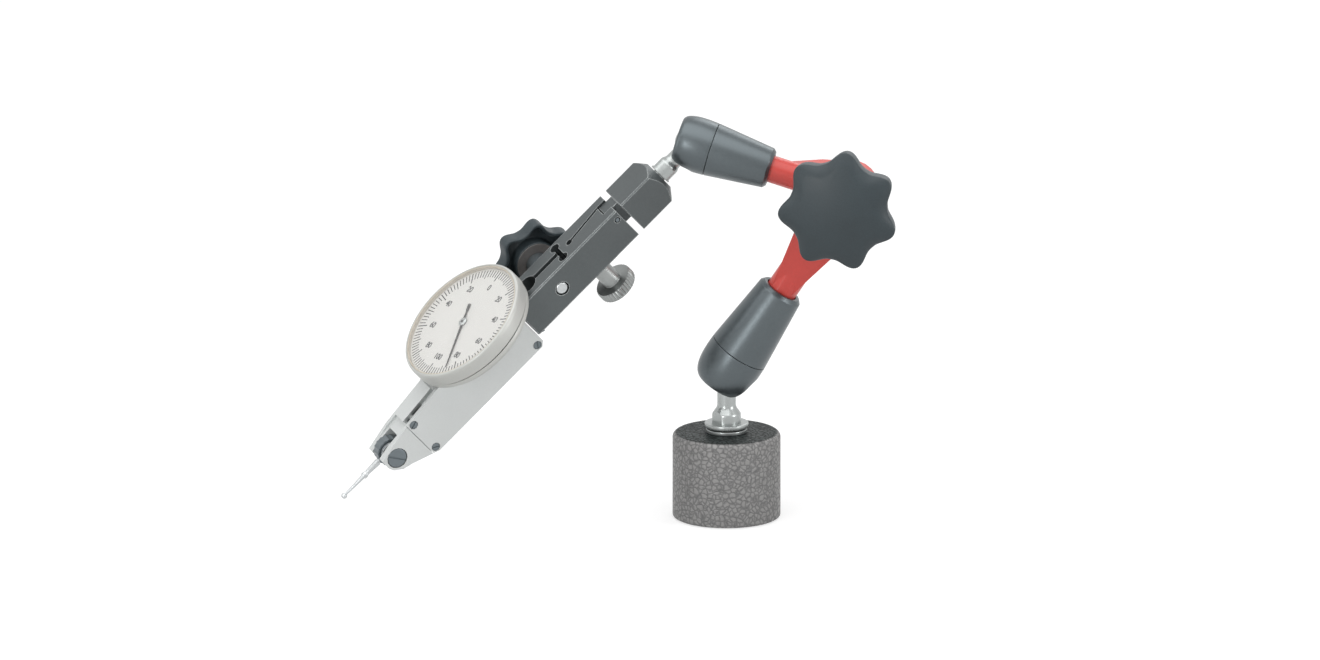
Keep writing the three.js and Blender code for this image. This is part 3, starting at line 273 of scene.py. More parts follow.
MATERIALS = {
    "hammer_paint": hammer_paint(),
    "magnet_steel": fine_finish("magnet_steel", (140, 140, 138), 0.42, 0.9, 600.0, 0.03),
    "resin": fine_finish("resin", (42, 42, 41), 0.6, 0.0, 500.0, 0.05),
    "zinc": fine_finish("zinc", (166, 170, 169), 0.3, 0.85, 700.0, 0.015, 0.05),
    "grey_shell": fine_finish("grey_shell", (92, 99, 102), 0.36, 0.75, 1500.0, 0.012, 0.06),
    "red_arm": fine_finish("red_arm", (216, 76, 68), 0.36, 0.0, 1100.0, 0.015, 0.05),
    "steel": fine_finish("steel", (188, 191, 192), 0.3, 0.9, 900.0, 0.01, 0.05),
    "brass": fine_finish("brass", (190, 160, 92), 0.33, 1.0, 900.0, 0.01),
    "knob_plastic": fine_finish("knob_plastic", (56, 65, 69), 0.46, 0.0, 2200.0, 0.035, 0.1, 0.08,
                                specular=0.36),
    # The holder's edges carry a painted highlight.
    "black_holder": fine_finish("black_holder", (89, 94, 95), 0.38, 0.5, 1300.0, 0.012, 0.07,
                                painted_edge_highlight=((188, 192, 192), 0.4)),
    "dark_steel": fine_finish("dark_steel", (110, 118, 122), 0.35, 0.6, 1200.0, 0.01),
    "satin_chrome": fine_finish("satin_chrome", (208, 211, 210), 0.42, 0.4, 1800.0, 0.008, 0.025),
    "dial_white": fine_finish("dial_white", (225, 224, 220), 0.55, 0.0, 1500.0, 0.006, 0.015),
    "clear_crystal": clear_crystal(),
    "needle": fine_finish("needle", (26, 26, 26), 0.4, 0.1, 1500.0, 0.004),
}
# Brownish grey of the hub, lightened beyond it as painted light that lifts the shade in the clamp knob's
# hollow back.
hub_painted_light = fine_finish("hub_painted_light", (128, 124, 122), 0.42, 0.4, 1200.0, 0.012, 0.06)
bezel_grey = fine_finish("bezel_grey", (196, 197, 193), 0.48, 0.3, 1800.0, 0.01, 0.03)
knurl_steel = fine_finish("knurl_steel", (150, 153, 152), 0.37, 0.9, 900.0, 0.015, 0.08)
cream_ring = fine_finish("cream_ring", (206, 198, 184), 0.45, 0.1, 1200.0, 0.008, 0.03)
print_black = fine_finish("print_black", (40, 42, 44), 0.6, 0.0, 1500.0, 0.003)


# Mesh tools, in millimetres

def ring_of(mesh, radii, heights):
    """Corners round Z, with one height for all of them or one for each."""
    count = len(radii)
    if not isinstance(heights, list):
        heights = [heights] * count
    made = []
    for step, (radius, height) in enumerate(zip(radii, heights)):
        angle = 2 * math.pi * step / count
        made.append(mesh.verts.new((radius * math.cos(angle), radius * math.sin(angle), height)))
    return made


def skin(mesh, rows, closed=False):
    """Faces between rings; a ring of one vertex closes to a point."""
    pairs = list(zip(rows, rows[1:]))
    if closed:
        pairs.append((rows[-1], rows[0]))
    for low, high in pairs:
        count = max(len(low), len(high))
        if count == 1:
            continue
        for step in range(count):
            after = (step + 1) % count
            if len(low) == 1:
                mesh.faces.new((low[0], high[after], high[step]))
            elif len(high) == 1:
                mesh.faces.new((low[step], low[after], high[0]))
            else:
                mesh.faces.new((low[step], low[after], high[after], high[step]))
    bmesh.ops.recalc_face_normals(mesh, faces=mesh.faces)
    return mesh


def curve(start, middle, end, share):
    """A point on the curve from start to end that bends towards middle."""
    return (1 - share) ** 2 * start + 2 * share * (1 - share) * middle + share ** 2 * end


def rounded(points):
    """A corner written (r, z, fillet) becomes a short curve."""
    path = []
    points = [point for index, point in enumerate(points) if not index or point[:2] != points[index - 1][:2]]
    count = len(points)
    for index, point in enumerate(points):
        fillet = point[2] if len(point) > 2 else 0
        here = Vector(point[:2])
        if not fillet:
            path.append(here)
            continue
        before = Vector(points[index - 1][:2]) - here
        after = Vector(points[(index + 1) % count][:2]) - here
        half = before.angle(after) / 2
        reach = min(fillet / math.tan(half), 0.49 * before.length, 0.49 * after.length)
        start = here + before.normalized() * reach
        end = here + after.normalized() * reach
        for step in range(FILLET_STEPS + 1):
            path.append(curve(start, here, end, step / FILLET_STEPS))
    return path


def arc(radius, start, end, steps, centre=(0.0, 0.0)):
    made = []
    for step in range(steps + 1):
        angle = math.radians(start + (end - start) * step / steps)
        made.append((centre[0] + radius * math.cos(angle), centre[1] + radius * math.sin(angle)))
    return made


def lathe(points, sides=SIDES, closed=False):
    """Turns a profile round Z; a closed one joins its last point to its first."""
    mesh = bmesh.new()
    rows = []
    for radius, height in rounded(points):
        if abs(radius) < 1e-6:
            rows.append([mesh.verts.new((0, 0, height))])
        else:
            rows.append(ring_of(mesh, [radius] * sides, height))
    return skin(mesh, rows, closed)


def disc(radius, low, high, fillet=0.0, sides=SIDES):
    return lathe([(0, low), (radius, low, fillet), (radius, high, fillet), (0, high)], sides)


def tube(inner, outer, low, high, fillet=0.0, sides=SIDES):
    return lathe([(inner, low, fillet), (outer, low, fillet), (outer, high, fillet), (inner, high, fillet)],
                 sides, closed=True)


def prism(points, low, high):
    mesh = bmesh.new()
    bottom = [mesh.verts.new((x, y, low)) for x, y in points]
    top = [mesh.verts.new((x, y, high)) for x, y in points]
    mesh.faces.new(bottom)
    mesh.faces.new(top)
    return skin(mesh, [bottom, top])


def block(low, high):
    (x0, y0, z0), (x1, y1, z1) = low, high
    return prism([(x0, y0), (x1, y0), (x1, y1), (x0, y1)], z0, z1)


def placed(mesh, matrix):
    mesh.transform(matrix)
    return mesh


def raw_object(mesh):
    data = bpy.data.meshes.new("tool")
    bmesh.ops.recalc_face_normals(mesh, faces=mesh.faces)
    mesh.to_mesh(data)
    mesh.free()
    made = bpy.data.objects.new("tool", data)
    scene.collection.objects.link(made)
    return made


def cut(base, tools):
    """Cuts the tools from the base."""
    body = raw_object(base)
    cutters = [raw_object(tool) for tool in tools]
    for cutter in cutters:
        step = body.modifiers.new("cut", "BOOLEAN")
        step.operation = "DIFFERENCE"
        step.solver = "EXACT"
        step.object = cutter
    bpy.context.view_layer.update()
    graph = bpy.context.evaluated_depsgraph_get()
    data = bpy.data.meshes.new_from_object(body.evaluated_get(graph))
    made = bmesh.new()
    made.from_mesh(data)
    for item in [body] + cutters:
        old = item.data
        bpy.data.objects.remove(item)
        bpy.data.meshes.remove(old)
    bpy.data.meshes.remove(data)
    bmesh.ops.remove_doubles(made, verts=made.verts, dist=WELD)
    bmesh.ops.dissolve_limit(made, angle_limit=math.radians(FLAT_ANGLE), verts=made.verts, edges=made.edges)
    return made


def from_node(name):
    """A node's own solid, in the stand's millimetres, with its corners merged."""
    mesh = bmesh.new()
    mesh.from_mesh(nodes[name].data)
    mesh.transform(Matrix.Scale(1 / MM, 4))
    bmesh.ops.remove_doubles(mesh, verts=mesh.verts, dist=WELD)
    return mesh


def piece(name, mesh, body, slot, replaced=(), place=None, material=None, bevel=0.0, segments=2,
          bevel_angle=35.0, smooth=SMOOTH_ANGLE):
    """Puts a mesh in the scene as a named piece that rides on a body."""
    mesh.transform(Matrix.Scale(MM, 4) @ (place or Matrix.Identity(4)))
    bmesh.ops.recalc_face_normals(mesh, faces=mesh.faces)
    for face in mesh.faces:
        face.smooth = True
    for edge in mesh.edges:
        if len(edge.link_faces) == 2:
            edge.smooth = edge.calc_face_angle(0.0) < math.radians(smooth)
    data = bpy.data.meshes.new(name)
    mesh.to_mesh(data)
    mesh.free()
    made = bpy.data.objects.new(name, data)
    scene.collection.objects.link(made)
    data.materials.append(material or MATERIALS[slot])
    if bevel:
        step = made.modifiers.new("edges", "BEVEL")
        step.width = bevel * MM
        step.segments = segments
        step.limit_method = "ANGLE"
        step.angle_limit = math.radians(bevel_angle)
        step.miter_outer = "MITER_ARC"
        even = made.modifiers.new("even", "WEIGHTED_NORMAL")
        even.weight = 80
    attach(made, body)
    if replaced:
        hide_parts(*replaced)
    return made


# Magnetic foot

POT_RADIUS = 15.0
POT_INNER = 12.4
POT_CEILING = 18
HOLE_RADIUS = 3.3
LOW_EDGE = 0.7
TOP_EDGE = 1.4
piece("magnet_pot", lathe(
    [(POT_INNER, 0, 0.3)] + arc(LOW_EDGE, -90, 0, 4, (POT_RADIUS - LOW_EDGE, LOW_EDGE))
    + arc(TOP_EDGE, 0, 90, 8, (POT_RADIUS - TOP_EDGE, POT_HEIGHT - TOP_EDGE))
    + [(HOLE_RADIUS, POT_HEIGHT, 0.3), (HOLE_RADIUS, POT_CEILING), (POT_INNER, POT_CEILING)],
    LARGE_SIDES, closed=True), "foot", "hammer_paint", ["magnet_housing"])
piece("foot_washer", tube(HOLE_RADIUS, 5.75, POT_HEIGHT, 25.1, 0.25), "foot", "zinc", ["base_washer"])


# Ball studs

def ball_stud(ball, neck, neck_length, flare, body, body_length, flats, flange, flange_thickness, tail,
              tail_length, flange_fillet):
    """Stud round its ball's centre: tail, flange, body with two spanner flats, flare, neck and ball."""
    flare_top = -neck_length
    body_top = flare_top - flare
    flange_top = body_top - body_length
    flange_bottom = flange_top - flange_thickness
    tail_end = flange_bottom - tail_length
    angle = math.degrees(math.acos(neck / ball))
    profile = [
        (0, tail_end), (tail, tail_end, 0.4), (tail, flange_bottom), (flange, flange_bottom, flange_fillet),
        (flange, flange_top, flange_fillet), (body, flange_top), (body, body_top, 1.2),
        (neck, flare_top, 2.0),
    ] + arc(ball, -angle, 90, 20)[:-1] + [(0, ball)]
    near = flats / 2
    far = body + 1
    low = flange_top + 0.02
    return cut(lathe(profile), [block((-far, -far, low), (-near, far, flare_top)),
                                block((near, -far, low), (far, far, flare_top))])


piece("lower_ball_pin", ball_stud(
    ball=5.5, neck=2.6, neck_length=10.4, flare=2.0, body=4.0, body_length=2.5, flats=6.8, flange=6.1,
    flange_thickness=1.4, tail=3.0, tail_length=6.3, flange_fillet=0.35),
    "lower_stud", "zinc", ["lower_ball_stud"], lower_stud_place, bevel=0.12)
piece("upper_ball_pin", ball_stud(
    ball=4.6, neck=2.35, neck_length=7.6, flare=1.3, body=3.2, body_length=3.0, flats=5.6, flange=3.2,
    flange_thickness=0.5, tail=2.0, tail_length=6.0, flange_fillet=0.1),
    "upper_stud", "zinc", ["upper_ball_stud"], upper_stud_place, bevel=0.1)


# Arms

RUN = 0.3
LEAN = math.radians(20)
CAP_STEPS = 14


def socket_cap(ball, neck, face, face_radius, face_edge, bulge, split, split_radius, spigot_length,
               spigot_wall):
    """Cap round a ball, with a leaning mouth for the neck and a slot that lets the neck swing out."""
    seat = ball + RUN
    counterbore = seat + spigot_wall + RUN
    floor = split - spigot_length - RUN
    start = Vector((face_radius, face_edge - face))
    middle = Vector((bulge, -face / 3))
    end = Vector((split_radius, split))
    flank = [tuple(curve(start, middle, end, step / CAP_STEPS)) for step in range(CAP_STEPS)]

    def opening(depth):
        return neck / math.cos(LEAN) + RUN + depth * math.tan(LEAN)

    lip = math.degrees(math.acos(opening(0) * math.cos(LEAN) / seat) - LEAN)
    profile = [(opening(face), -face, 0.15), (face_radius - face_edge, -face, 0.8)] + flank + [
        (split_radius, split, 0.12), (counterbore, split, 0.1), (counterbore, floor), (seat, floor)
    ] + arc(seat, 0, -lip, 10)
    half = neck + RUN
    far = bulge + 1
    slot_end = placed(disc(half, 0, far, sides=SMALL_SIDES), ALONG_X)
    return cut(lathe(profile, closed=True), [block((0, -half, -face - 1), (far, half, 0)), slot_end])


def arm_sleeve(ball, length, split, split_radius, spigot_length, spigot_wall, end_share, taper, shoulder,
               end_radius, seat_share, neck):
    """Tapered sleeve with the spigot that enters the cap and the seat that holds the red arm's neck."""
    bore = ball + RUN
    spigot = bore + spigot_wall
    end = length * end_share
    seat = length * seat_share
    return lathe([
        (bore, split - spigot_length), (spigot, split - spigot_length), (spigot, split + 0.15),
        (split_radius, split + 0.15, 0.12), (shoulder, end - taper, 0.5), (end_radius, end, 0.2),
        (neck + RUN, end, 0.15), (neck + RUN, seat), (bore, seat),
    ], closed=True)


LOWER_SHELL = dict(ball=5.5, split=6.4, split_radius=8.45, spigot_length=3.0, spigot_wall=1.2)
UPPER_SHELL = dict(ball=4.6, split=5.8, split_radius=7.5, spigot_length=2.8, spigot_wall=0.95)
piece("lower_cap_shell", socket_cap(
    neck=2.6, face=5.2, face_radius=6.8, face_edge=0.8, bulge=8.9, **LOWER_SHELL),
    "lower_shell", "grey_shell", ["lower_socket_cap"], lower_place, bevel=0.2, bevel_angle=50)
piece("lower_sleeve_shell", arm_sleeve(
    length=LOWER_LENGTH, end_share=0.458, taper=1.0, shoulder=6.5, end_radius=5.6, seat_share=0.279,
    neck=4.35, **LOWER_SHELL), "lower_shell", "grey_shell", ["lower_arm_sleeve"], lower_place)
piece("upper_cap_shell", socket_cap(
    neck=2.35, face=4.0, face_radius=6.6, face_edge=0.6, bulge=8.1, **UPPER_SHELL),
    "upper_shell", "grey_shell", ["upper_socket_cap"], upper_shell_place, bevel=0.2, bevel_angle=50)
piece("upper_sleeve_shell", arm_sleeve(
    length=UPPER_LENGTH, end_share=0.509, taper=0.8, shoulder=5.7, end_radius=4.9, seat_share=0.303,
    neck=3.8, **UPPER_SHELL), "upper_shell", "grey_shell", ["upper_arm_sleeve"], upper_shell_place)
for side in ("lower", "upper"):
    piece(side + "_red_arm", from_node(side + "_joint_arm"), side + "_arm", "red_arm", [side + "_joint_arm"],
          bevel=0.45, segments=3, bevel_angle=24, smooth=40)


# Lobed knobs

LOBES = 7
LOBE_STEPS = 24
LOBE_SHARPNESS = 1.35
ROLL_STEPS = 12


def star_knob(tip, valley, height, wall, roof, hub, drop, bore, bore_depth, dome, phase, roll, rim_height,
              draft):
    """Hollow-backed lobed knob: one closed skin from the crown over the rim into the hollow and the bore.

    The face is part of a sphere that falls by dome out to the tips, and rolls into the side at rim_height.
    The side draws in by draft towards the back, and the hub stands out of the back by drop.
    """
    mesh = bmesh.new()
    count = LOBES * LOBE_STEPS
    sphere = (tip ** 2 + dome ** 2) / (2 * dome)
    crown = valley - roll - 0.4

    def star(inset, blend=0.0):
        radii = []
        for step in range(count):
            angle = 2 * math.pi * step / count - math.radians(phase)
            swell = ((1 + math.cos(LOBES * angle)) / 2) ** LOBE_SHARPNESS
            radii.append((valley + (tip - valley) * swell - inset) * (1 - blend) + crown * blend)
        return radii

    def face(radius):
        return height - sphere + math.sqrt(sphere ** 2 - radius ** 2)

    rows = [[mesh.verts.new((0, 0, height))]]
    for share in (0.15, 0.3, 0.45, 0.6, 0.75, 0.88, 1.0):
        rows.append(ring_of(mesh, [crown * share] * count, face(crown * share)))
    for blend in (0.75, 0.5, 0.25):
        radii = star(roll, blend)
        rows.append(ring_of(mesh, radii, [face(radius) for radius in radii]))
    for step in range(ROLL_STEPS + 1):
        turned = math.pi / 2 * step / ROLL_STEPS
        radii = star(roll * (1 - math.sin(turned)))
        rows.append(ring_of(mesh, radii, [face(radius) - (face(radius) - rim_height) * (1 - math.cos(turned))
                                          for radius in radii]))
    for share in (0.15, 0.35, 0.6, 0.8):
        rows.append(ring_of(mesh, star(draft * share ** 2), rim_height * (1 - share)))
    inner = wall + draft
    ceiling = height - roof
    for inset, rise in ((draft, 0.35), (draft + 0.15, 0.1), (draft + 0.4, 0.0), (inner - 0.2, 0.0),
                        (inner, 0.2), (inner + 0.05, ceiling * 0.5), (inner + 0.1, ceiling - 0.5),
                        (inner + 0.5, ceiling)):
        rows.append(ring_of(mesh, star(inset), rise))
    for radius, rise in ((hub + 0.5, ceiling), (hub, ceiling - 0.5), (hub, 0.3 - drop), (hub - 0.3, -drop),
                         (bore + 0.2, -drop), (bore, 0.2 - drop), (bore, bore_depth - drop)):
        rows.append(ring_of(mesh, [radius] * count, rise))
    rows.append([mesh.verts.new((0, 0, bore_depth - drop))])
    return skin(mesh, rows)


piece("elbow_star_knob", star_knob(
    tip=16.8, valley=13.8, height=11.0, wall=1.5, roof=3.8, hub=6.6, drop=3.2, bore=4.9, bore_depth=9.0,
    dome=3.2, phase=30.6, roll=3.8, rim_height=7.2, draft=1.1),
    "knob", "knob_plastic", ["elbow_knob"], knob_place, smooth=50)
piece("clamp_star_knob", star_knob(
    tip=12.0, valley=9.8, height=5.8, wall=1.0, roof=2.2, hub=6.2, drop=0.0, bore=2.05, bore_depth=4.4,
    dome=1.1, phase=28.5, roll=2.2, rim_height=3.7, draft=0.3),
    "clamp", "knob_plastic", ["clamp_knob"], clamp_place, smooth=50)


# Holder

SLEEVE_BORE = 2.05
BOLT_RADIUS = 1.75
BOLT_START = -5.5
BOLT_END = 16.7
piece("head_steel", from_node("head_block"), "head", "black_holder", ["head_block"], bevel=0.2,
      bevel_angle=28, smooth=28)
piece("holder_steel", from_node("holder_bar"), "holder", "black_holder", ["holder_bar"], bevel=0.18,
      bevel_angle=28, smooth=28)
# Thin lighter face on the clamp knob's hub: painted light lifting the shade in its hollow back.
piece("clamp_hub_face", tube(2.2, 5.9, -0.18, 0.1, 0.12), "clamp", "dark_steel", (), clamp_place,
      material=hub_painted_light)
piece("clamp_sleeve", tube(SLEEVE_BORE, 3.4, 5.9, 12.3, 0.2, SMALL_SIDES), "holder", "dark_steel",
      ["clamp_spacer"], cross_place)
piece("clamp_bolt", lathe([
    (0, BOLT_START), (0.55, BOLT_START, 0.05), (0.7, BOLT_START + 0.05), (1.45, BOLT_START, 0.1),
    (BOLT_RADIUS, BOLT_START + 0.25, 0.1), (BOLT_RADIUS, BOLT_END, 0.2), (0, BOLT_END)], SMALL_SIDES),
    "clamp", "steel", ["clamp_screw"], cross_place)

KNURLS = 36
KNURL_STEPS = 6
KNURL_DEPTH = 0.5
KNURL_SHARPNESS = 0.7
HEAD_RADIUS = 5.75
HEAD_LOW = -16.6
HEAD_HIGH = -13.4
HEAD_CHAMFER = 0.35
BOSS_RADIUS = 2.7
BOSS_END = -6.6
SHANK_RADIUS = 1.45
SHANK_END = -1.9


def fine_screw():
    """Straight-knurled head, boss and shank along Z."""
    mesh = bmesh.new()
    count = KNURLS * KNURL_STEPS

    def rim(inset, notch):
        return [HEAD_RADIUS - inset
                - notch * (0.5 - 0.5 * math.cos(2 * math.pi * KNURLS * step / count)) ** KNURL_SHARPNESS
                for step in range(count)]

    def plain(radius):
        return [radius] * count

    rows = [[mesh.verts.new((0, 0, HEAD_LOW))]]
    for radii, height in (
            (plain(4.2), HEAD_LOW), (plain(4.5), HEAD_LOW + 0.12),
            (rim(HEAD_CHAMFER + 0.2, 0), HEAD_LOW + 0.12), (rim(HEAD_CHAMFER, 0), HEAD_LOW + 0.14),
            (rim(0, KNURL_DEPTH), HEAD_LOW + HEAD_CHAMFER + 0.1),
            (rim(0, KNURL_DEPTH), HEAD_HIGH - HEAD_CHAMFER), (rim(HEAD_CHAMFER, 0), HEAD_HIGH),
            (plain(3.1), HEAD_HIGH), (plain(2.8), HEAD_HIGH + 0.1), (plain(BOSS_RADIUS), HEAD_HIGH + 0.3),
            (plain(BOSS_RADIUS), BOSS_END - 0.3), (plain(2.4), BOSS_END), (plain(1.6), BOSS_END),
            (plain(SHANK_RADIUS), BOSS_END + 0.15), (plain(SHANK_RADIUS), SHANK_END - 0.3),
            (plain(1.2), SHANK_END)):
        rows.append(ring_of(mesh, radii, height))
    rows.append([mesh.verts.new((0, 0, SHANK_END))])
    return skin(mesh, rows)


piece("fine_knurled_screw", fine_screw(), "fine_screw", "steel", ["fine_adjust_screw"], fine_screw_place,
      material=knurl_steel, smooth=38)


# Indicator

piece("gauge_case", from_node("indicator_body"), "indicator", "satin_chrome", ["indicator_body"], bevel=0.12,
      bevel_angle=28, smooth=28)
piece("gauge_cover", from_node("side_cover"), "indicator", "satin_chrome", ["side_cover"], bevel=0.08,
      bevel_angle=28, smooth=28)
piece("gauge_dovetail", from_node("rear_dovetail"), "indicator", "dark_steel", ["rear_dovetail"], bevel=0.15)


def slotted(face, head_radius, head_depth, shank, end, slot, slot_depth, rim):
    """Screw with a slotted head; face and end are the heights of its head and its tip."""
    screw = lathe([(0, end), (shank, end, 0.1), (shank, face - head_depth), (head_radius, face - head_depth),
                   (head_radius, face, rim), (0, face)], SMALL_SIDES)
    far = head_radius + 1
    return cut(screw, [block((-far, -slot / 2, face - slot_depth), (far, slot / 2, face + 1))])


COVER_FACE = 5.0
SCREWS = [(9.7, 3.85, 20), (9.7, -6.4, -35), (49.5, -6.6, 60)]
for index, (x, y, angle) in enumerate(SCREWS, 1):
    cover_head = slotted(face=COVER_FACE, head_radius=1.15, head_depth=0.6, shank=0.5, end=1.8, slot=0.35,
                         slot_depth=0.3, rim=0.12)
    piece("cover_screw_head_%d" % index, cover_head, "indicator", "dark_steel", ["cover_screw_%d" % index],
          gauge_place @ shift(x, y) @ turn("Z", angle), bevel=0.04)
pivot_head = slotted(face=COVER_FACE, head_radius=2.85, head_depth=0.9, shank=1.1, end=-4.6, slot=0.6,
                     slot_depth=0.4, rim=0.4)
piece("pivot_screw_head", pivot_head, "indicator", "dark_steel", ["pivot_screw"],
      gauge_place @ turn("Z", -60), bevel=0.05)


def stylus_rod():
    """Stepped rod along Z with the contact ball at its tip."""
    ball, tip, length = 0.85, 0.36, 17.8
    angle = math.degrees(math.asin(tip / ball))
    rod = [(0, 2.6), (0.75, 2.6), (0.75, 4.5), (0.95, 4.5, 0.1), (0.7, 8.9, 0.3), (0.95, 9.6, 0.1),
           (0.95, 10.3, 0.1), (0.62, 10.3)]
    contact = [(radius, length + along) for along, radius in arc(ball, 180 - angle, 0, 16)][:-1]
    return lathe(rod + contact + [(0, length + ball)], SMALL_SIDES)


HUB_MIDDLE = -0.8
piece("stylus_pin", stylus_rod(), "stylus", "steel", ["stylus"],
      gauge_place @ shift(z=HUB_MIDDLE) @ turn("Y", -90))
piece("stylus_wheel", from_node("stylus_hub"), "stylus", "dark_steel", ["stylus_hub"], bevel=0.06, smooth=15)


# Dial

piece("dial_cup", lathe([
    (1.4, 0), (17.9, 0, 0.15), (17.9, 1.1), (19.1, 1.1, 0.25), (19.1, 2.4, 0.25), (18.3, 2.4, 0.1),
    (18.3, 1.6), (1.4, 1.6)], LARGE_SIDES, closed=True),
    "indicator", "satin_chrome", ["dial_case"], dial_place, material=bezel_grey)
piece("dial_bezel", lathe([
    (18.0, 1.9), (18.0, 2.85), (19.5, 2.85, 0.3), (19.5, 5.9, 0.5), (19.35, 6.7, 0.5), (19.05, 7.1, 0.35),
    (18.65, 7.1, 0.12), (18.65, 3.5), (16.6, 3.5), (16.6, 1.9)], LARGE_SIDES, closed=True),
    "dial_ring", "satin_chrome", ["bezel"], dial_place, material=bezel_grey)
piece("dial_crystal", disc(18.2, 6.6, 7.05, 0.2, LARGE_SIDES), "dial_ring", "clear_crystal", ["crystal"],
      dial_place)
piece("dial_seal", tube(18.3, 18.6, 5.85, 7.0, 0.1, LARGE_SIDES), "dial_ring", "resin", (), dial_place,
      material=cream_ring)
piece("dial_face", tube(1.0, 18.55, 3.8, 5.8, 0.05, LARGE_SIDES), "dial_ring", "dial_white", ["dial_plate"],
      dial_place)

LINES = 100
LINE_OUTER = 17.8
ZERO_ANGLE = 14.6
PRINT_LOW = 5.78
PRINT_HIGH = 5.83
NUMBER_RADIUS = 12.1
NUMBER_HEIGHT = 1.85
SIZE_FOR_HEIGHT = 1.38


def graduations():
    """A hundred raised lines, longer at each fifth and tenth."""
    mesh = bmesh.new()
    for index in range(LINES):
        angle = math.radians(ZERO_ANGLE + 360 / LINES * index)
        along, across = math.cos(angle), math.sin(angle)
        inner = 14.4 if index % 10 == 0 else 14.9 if index % 5 == 0 else 15.5
        half = 0.16 if index % 10 == 0 else 0.13
        corners = [(inner, -half), (LINE_OUTER, -half), (LINE_OUTER, half), (inner, half)]
        low = [mesh.verts.new((x * along - y * across, x * across + y * along, PRINT_LOW))
               for x, y in corners]
        high = [mesh.verts.new((vert.co.x, vert.co.y, PRINT_HIGH)) for vert in low]
        mesh.faces.new(low)
        mesh.faces.new(high)
        for step in range(4):
            after = (step + 1) % 4
            mesh.faces.new((low[step], low[after], high[after], high[step]))
    return mesh


def numbers():
    """The dial's numbers, upright with nought at the top, as thin raised print."""
    mesh = bmesh.new()
    for index, value in enumerate((0, 20, 40, 60, 80, 100, 80, 60, 40, 20)):
        text = bpy.data.curves.new("number", "FONT")
        text.body = str(value)
        text.size = NUMBER_HEIGHT * SIZE_FOR_HEIGHT
        text.align_x = "CENTER"
        text.align_y = "CENTER"
        text.extrude = (PRINT_HIGH - PRINT_LOW) / 2
        text.resolution_u = 3
        text.space_character = 0.95
        text.offset = 0.05
        holder = bpy.data.objects.new("number", text)
        scene.collection.objects.link(holder)
        bpy.context.view_layer.update()
        data = bpy.data.meshes.new_from_object(holder.evaluated_get(bpy.context.evaluated_depsgraph_get()))
        angle = ZERO_ANGLE + 36 * index
        place = (turn("Z", angle) @ shift(NUMBER_RADIUS) @ turn("Z", ZERO_ANGLE - 90 - angle)
                 @ Matrix.Diagonal((0.9, 1.04, 1, 1)))
        data.transform(shift(z=(PRINT_LOW + PRINT_HIGH) / 2) @ place)
        mesh.from_mesh(data)
        bpy.data.objects.remove(holder)
        bpy.data.curves.remove(text)
        bpy.data.meshes.remove(data)
    bmesh.ops.remove_doubles(mesh, verts=mesh.verts, dist=0.001)
    return mesh


piece("dial_graduations", graduations(), "dial_ring", "needle", (), dial_place, material=print_black)
piece("dial_numbers", numbers(), "dial_ring", "needle", (), dial_place, material=print_black)


HAND_LOW = 6.05
HAND_THICKNESS = 0.2


def pointer_hand():
    """Tapered hand with a broader counterweight tail and a hole for its boss."""
    side = [(15.8, 0.12), (0, 0.36), (-3.4, 0.22), (-4.2, 0.4), (-5.9, 0.46), (-6.2, 0.3)]
    hand = prism(side + [(x, -y) for x, y in reversed(side)], HAND_LOW, HAND_LOW + HAND_THICKNESS)
    return cut(hand, [disc(0.7, 5, 7, sides=24)])


hand_place = dial_place @ turn("Z", -140.7)
piece("dial_hand", pointer_hand(), "hand", "needle", ["pointer"], hand_place, bevel=0.04)
piece("hand_boss", lathe([(0.45, 4.9), (0.7, 4.9, 0.05), (0.7, 5.95), (1.35, 5.95, 0.1), (1.35, 6.3, 0.2),
                          (0.9, 6.5, 0.15), (0.45, 6.54, 0.03)],
                         SMALL_SIDES, closed=True), "hand", "zinc", (), hand_place)

KEPT_NODES = {
    "magnet_steel": ["magnet_core"],
    "resin": ["filler_ring"],
    "steel": ["lower_pressure_cup", "lower_retaining_collar", "lower_push_rod", "upper_pressure_cup",
              "upper_retaining_collar", "upper_push_rod", "clamp_spindle", "thrust_washer", "adjust_spring",
              "stylus_lever", "hairspring", "pointer_arbor"],
    "brass": ["knob_insert", "sector_lever", "crown_wheel"],
    "dark_steel": ["pivot_pin"],
}
for slot, names in KEPT_NODES.items():
    for name in names:
        nodes[name].data.materials.clear()
        nodes[name].data.materials.append(MATERIALS[slot])


# Studio and camera

AZIMUTH = math.radians(8.0)
ELEVATION = math.radians(14.3)
VIEW_WIDTH = 366.67
CENTRE_RIGHT = -18.472
CENTRE_UP = 51.417
DISTANCE = 8000.0
SENSOR_WIDTH = 36.0
WORLD_LIGHT = 0.24
BACKDROP_LIGHT = 1.0
FLOOR_REACH = 3.0
FLOOR_DROP = 0.0002
FLOOR_GREY = 0.5
FLOOR_GLOW = 0.65

right = Vector((math.cos(AZIMUTH), math.sin(AZIMUTH), 0))
back = Vector((math.sin(AZIMUTH) * math.cos(ELEVATION), -math.cos(AZIMUTH) * math.cos(ELEVATION),
               math.sin(ELEVATION)))
up = back.cross(right)

camera_data = bpy.data.cameras.new("camera")
camera_data.type = "PERSP"
camera_data.sensor_width = SENSOR_WIDTH
camera_data.lens = SENSOR_WIDTH * DISTANCE / VIEW_WIDTH
camera_data.clip_start = 0.05
camera_data.clip_end = 40.0
camera = bpy.data.objects.new("camera", camera_data)
camera_place = (right * CENTRE_RIGHT + up * CENTRE_UP + back * DISTANCE) * MM
camera.matrix_world = Matrix.Translation(camera_place) @ Matrix((right, up, back)).transposed().to_4x4()
scene.collection.objects.link(camera)
scene.camera = camera
scene.view_settings.view_transform = "Standard"


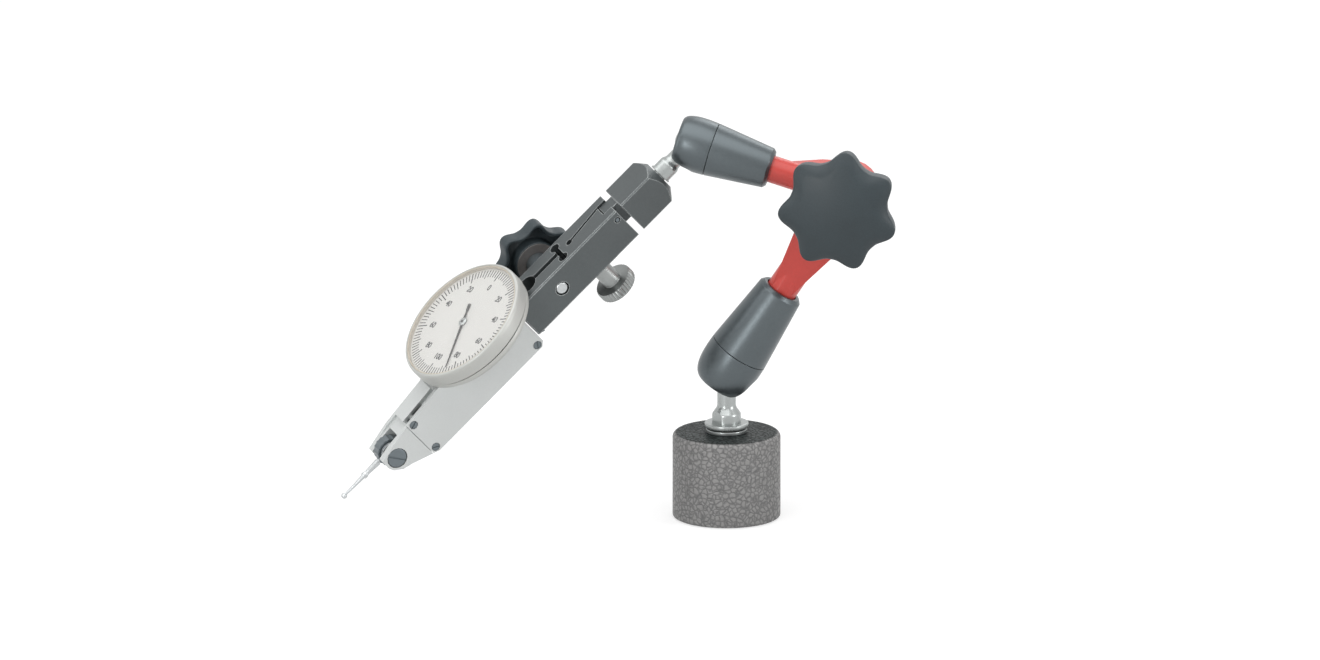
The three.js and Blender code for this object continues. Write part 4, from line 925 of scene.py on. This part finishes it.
def seen_rays(tree):
    """One for camera, glossy and transmission rays, and nought for the rays that light the object."""
    path = tree.nodes.new("ShaderNodeLightPath")
    total = path.outputs["Is Camera Ray"]
    for name in ("Is Glossy Ray", "Is Transmission Ray"):
        most = tree.nodes.new("ShaderNodeMath")
        most.operation = "MAXIMUM"
        tree.links.new(total, most.inputs[0])
        tree.links.new(path.outputs[name], most.inputs[1])
        total = most.outputs[0]
    return total


world = bpy.data.worlds.new("studio")
world.use_nodes = True
scene.world = world
tree = world.node_tree
background = tree.nodes["Background"]
background.inputs["Color"].default_value = (1, 1, 1, 1)
shade = tree.nodes.new("ShaderNodeMapRange")
shade.inputs["To Min"].default_value = WORLD_LIGHT
shade.inputs["To Max"].default_value = BACKDROP_LIGHT
tree.links.new(seen_rays(tree), shade.inputs["Value"])
tree.links.new(shade.outputs["Result"], background.inputs["Strength"])


def lamp(name, place, aim, size, power):
    """Area lamp; place, aim and size in metres, power in watts."""
    data = bpy.data.lights.new(name, "AREA")
    data.shape = "RECTANGLE"
    data.size, data.size_y = size
    data.energy = power
    made = bpy.data.objects.new(name, data)
    made.location = place
    made.rotation_euler = (Vector(aim) - Vector(place)).to_track_quat("-Z", "Y").to_euler()
    scene.collection.objects.link(made)


lamp("top", (-0.1, -0.3, 1.15), (0, 0, 0.06), (1.8, 1.2), 11.5)
lamp("left", (-1.15, -0.35, 0.4), (0, 0, 0.08), (0.35, 0.8), 1.8)
lamp("right", (1.15, -0.35, 0.4), (0, 0, 0.08), (0.3, 0.7), 4.2)
lamp("front", (-0.43, -1.11, 0.22), (0, 0, 0.07), (0.25, 0.6), 3.7)
lamp("rim", (0.25, 0.9, 0.8), (0, 0, 0.06), (0.5, 0.5), 2.0)

floor_mesh = bmesh.new()
bmesh.ops.create_grid(floor_mesh, x_segments=4, y_segments=4, size=FLOOR_REACH)
floor_data = bpy.data.meshes.new("floor")
floor_mesh.to_mesh(floor_data)
floor_mesh.free()
floor = bpy.data.objects.new("floor", floor_data)
floor.location.z = -FLOOR_DROP
scene.collection.objects.link(floor)
paper = bpy.data.materials.new("paper")
paper.use_nodes = True
tree = paper.node_tree
diffuse = tree.nodes["Principled BSDF"]
diffuse.inputs["Base Color"].default_value = (FLOOR_GREY, FLOOR_GREY, FLOOR_GREY, 1)
diffuse.inputs["Roughness"].default_value = 0.9
diffuse.inputs["Specular IOR Level"].default_value = 0.0
diffuse.inputs["Emission Color"].default_value = (1, 1, 1, 1)
glow = tree.nodes.new("ShaderNodeMath")
glow.operation = "MULTIPLY"
glow.inputs[1].default_value = FLOOR_GLOW
tree.links.new(seen_rays(tree), glow.inputs[0])
tree.links.new(glow.outputs[0], diffuse.inputs["Emission Strength"])
floor_data.materials.append(paper)
